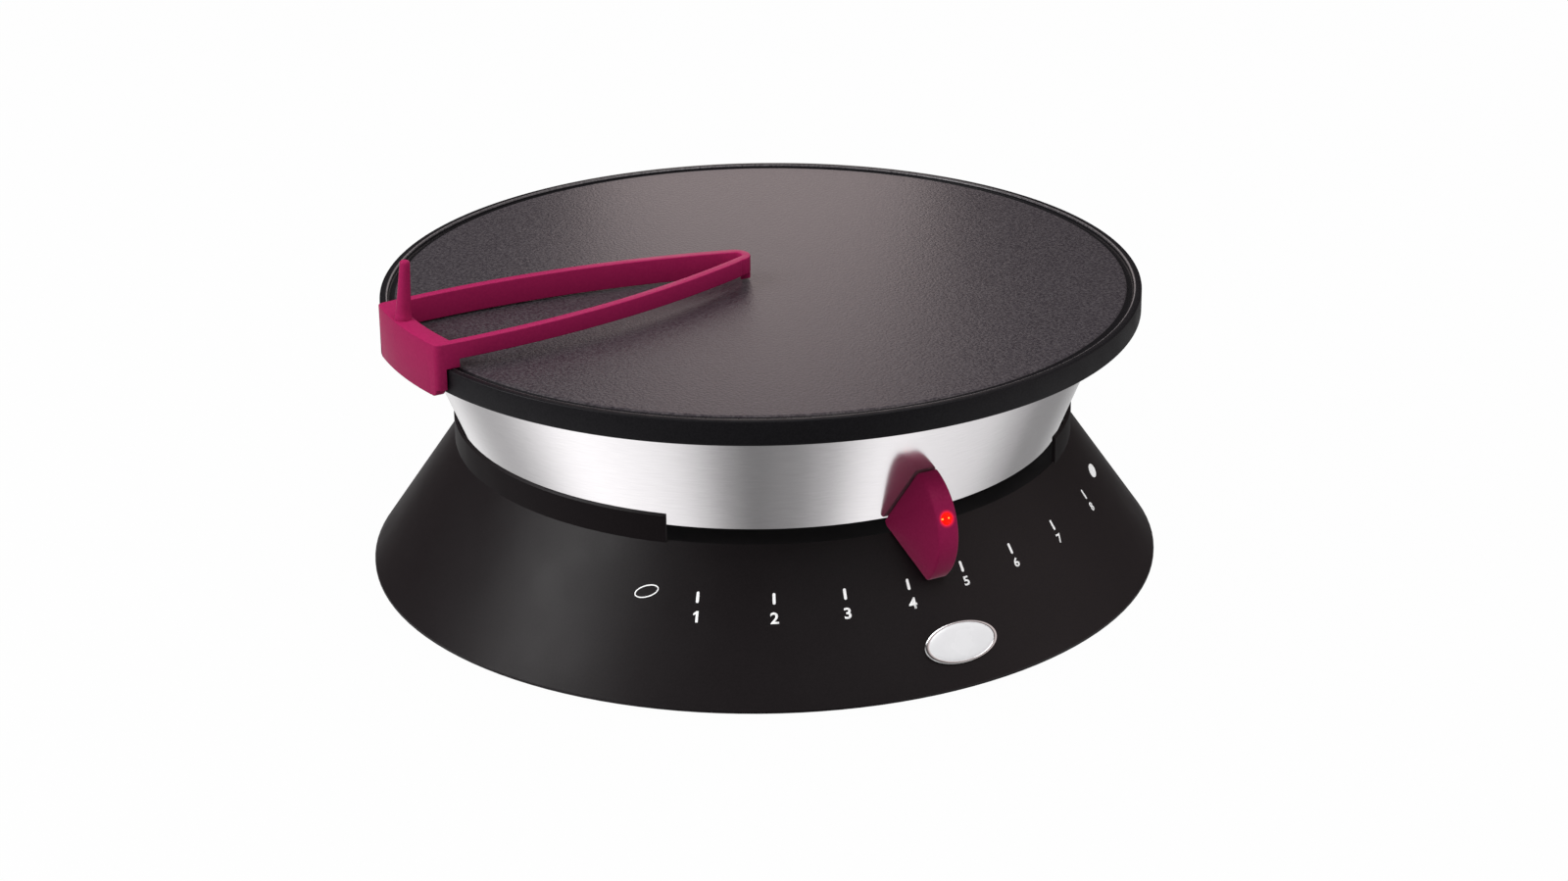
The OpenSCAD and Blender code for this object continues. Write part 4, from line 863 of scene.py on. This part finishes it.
# %% Sky and panels
around = tree.nodes.new("ShaderNodeMix")
around.data_type = "RGBA"
tree.links.new(by_height(*STUDIO_STEP, 0, 1), around.inputs["Factor"])
tree.links.new(studio_ramp(LOW_STUDIO, NEUTRAL, "CARDINAL"), around.inputs["A"])
tree.links.new(studio_ramp(HIGH_STUDIO, WARM, "B_SPLINE"), around.inputs["B"])
soft = tree.nodes["Background"]
soft.inputs["Color"].default_value = (1, 1, 1, 1)
tree.links.new(by_height(*SKY_STEP, SKY_LOW, SKY_HIGH), soft.inputs["Strength"])
seen = tree.nodes.new("ShaderNodeBackground")
mirrored = tree.nodes.new("ShaderNodeBackground")
tree.links.new(around.outputs["Result"], mirrored.inputs["Color"])
tree.links.new(by_height(*CEILING_STEP, STUDIO_PEAK, STUDIO_PEAK * CEILING_SHARE),
               mirrored.inputs["Strength"])
print("studio panels:", len(LOW_STUDIO), "low,", len(HIGH_STUDIO), "high")

# %% What each kind of ray meets
path = tree.nodes.new("ShaderNodeLightPath")
by_gloss = tree.nodes.new("ShaderNodeMixShader")
by_eye = tree.nodes.new("ShaderNodeMixShader")
tree.links.new(path.outputs["Is Glossy Ray"], by_gloss.inputs["Fac"])
tree.links.new(soft.outputs[0], by_gloss.inputs[1])
tree.links.new(mirrored.outputs[0], by_gloss.inputs[2])
tree.links.new(path.outputs["Is Camera Ray"], by_eye.inputs["Fac"])
tree.links.new(by_gloss.outputs[0], by_eye.inputs[1])
tree.links.new(seen.outputs[0], by_eye.inputs[2])
tree.links.new(by_eye.outputs[0], tree.nodes["World Output"].inputs["Surface"])
print("world nodes:", len(tree.nodes))

# %% [markdown]
# ## The lamps
#
# A large softbox on the left is the key: it gives the cone its broad highlight and the spreader
# its lit faces. A second one high on the right fills the shadows. The plate's sheen is the
# mirror image of a near, upright strip of warm light straight behind it. The coating is rough
# enough to blur that strip into a patch which fades towards the rim.

# %% Area lamps, in metres, degrees and watts
LAMP_AIM = Vector((0, 0, 0.08))


def hang(lamp, place, aim):
    """Hangs an area lamp at place, so that it points at aim."""
    holder = bpy.data.objects.new(lamp.name, lamp)
    bpy.context.scene.collection.objects.link(holder)
    facing = (aim - place).to_track_quat("-Z", "Y")
    holder.matrix_world = Matrix.Translation(place) @ facing.to_matrix().to_4x4()


def softbox(name, azimuth, elevation, away, size, power):
    """A round lamp that points at the drum from azimuth and elevation."""
    lamp = bpy.data.lights.new(name, "AREA")
    lamp.shape = "DISK"
    lamp.size = size
    lamp.energy = power
    a, e = radians(azimuth), radians(elevation)
    toward = Vector((sin(a) * cos(e), -cos(a) * cos(e), sin(e)))
    hang(lamp, toward * away + LAMP_AIM, LAMP_AIM)


softbox("key", azimuth=-104, elevation=37, away=1.6, size=0.8, power=15)
softbox("fill", azimuth=20, elevation=65, away=1.8, size=1.0, power=10)

# %% The strip behind the plate
STRIP_AWAY, STRIP_Z, STRIP_W, STRIP_H, STRIP_POWER = 0.50, 0.37, 0.22, 0.50, 0.38
strip = bpy.data.lights.new("strip", "AREA")
strip.shape = "RECTANGLE"
strip.size, strip.size_y = STRIP_W, STRIP_H
strip.energy = STRIP_POWER
strip.color = WARM
back = radians(CAMERA_AZIMUTH + 180)
hang(strip, Vector((sin(back) * STRIP_AWAY, -cos(back) * STRIP_AWAY, STRIP_Z)),
     Vector((0, 0, STRIP_Z)))
print("lamps:", [lamp.name for lamp in bpy.data.lights])
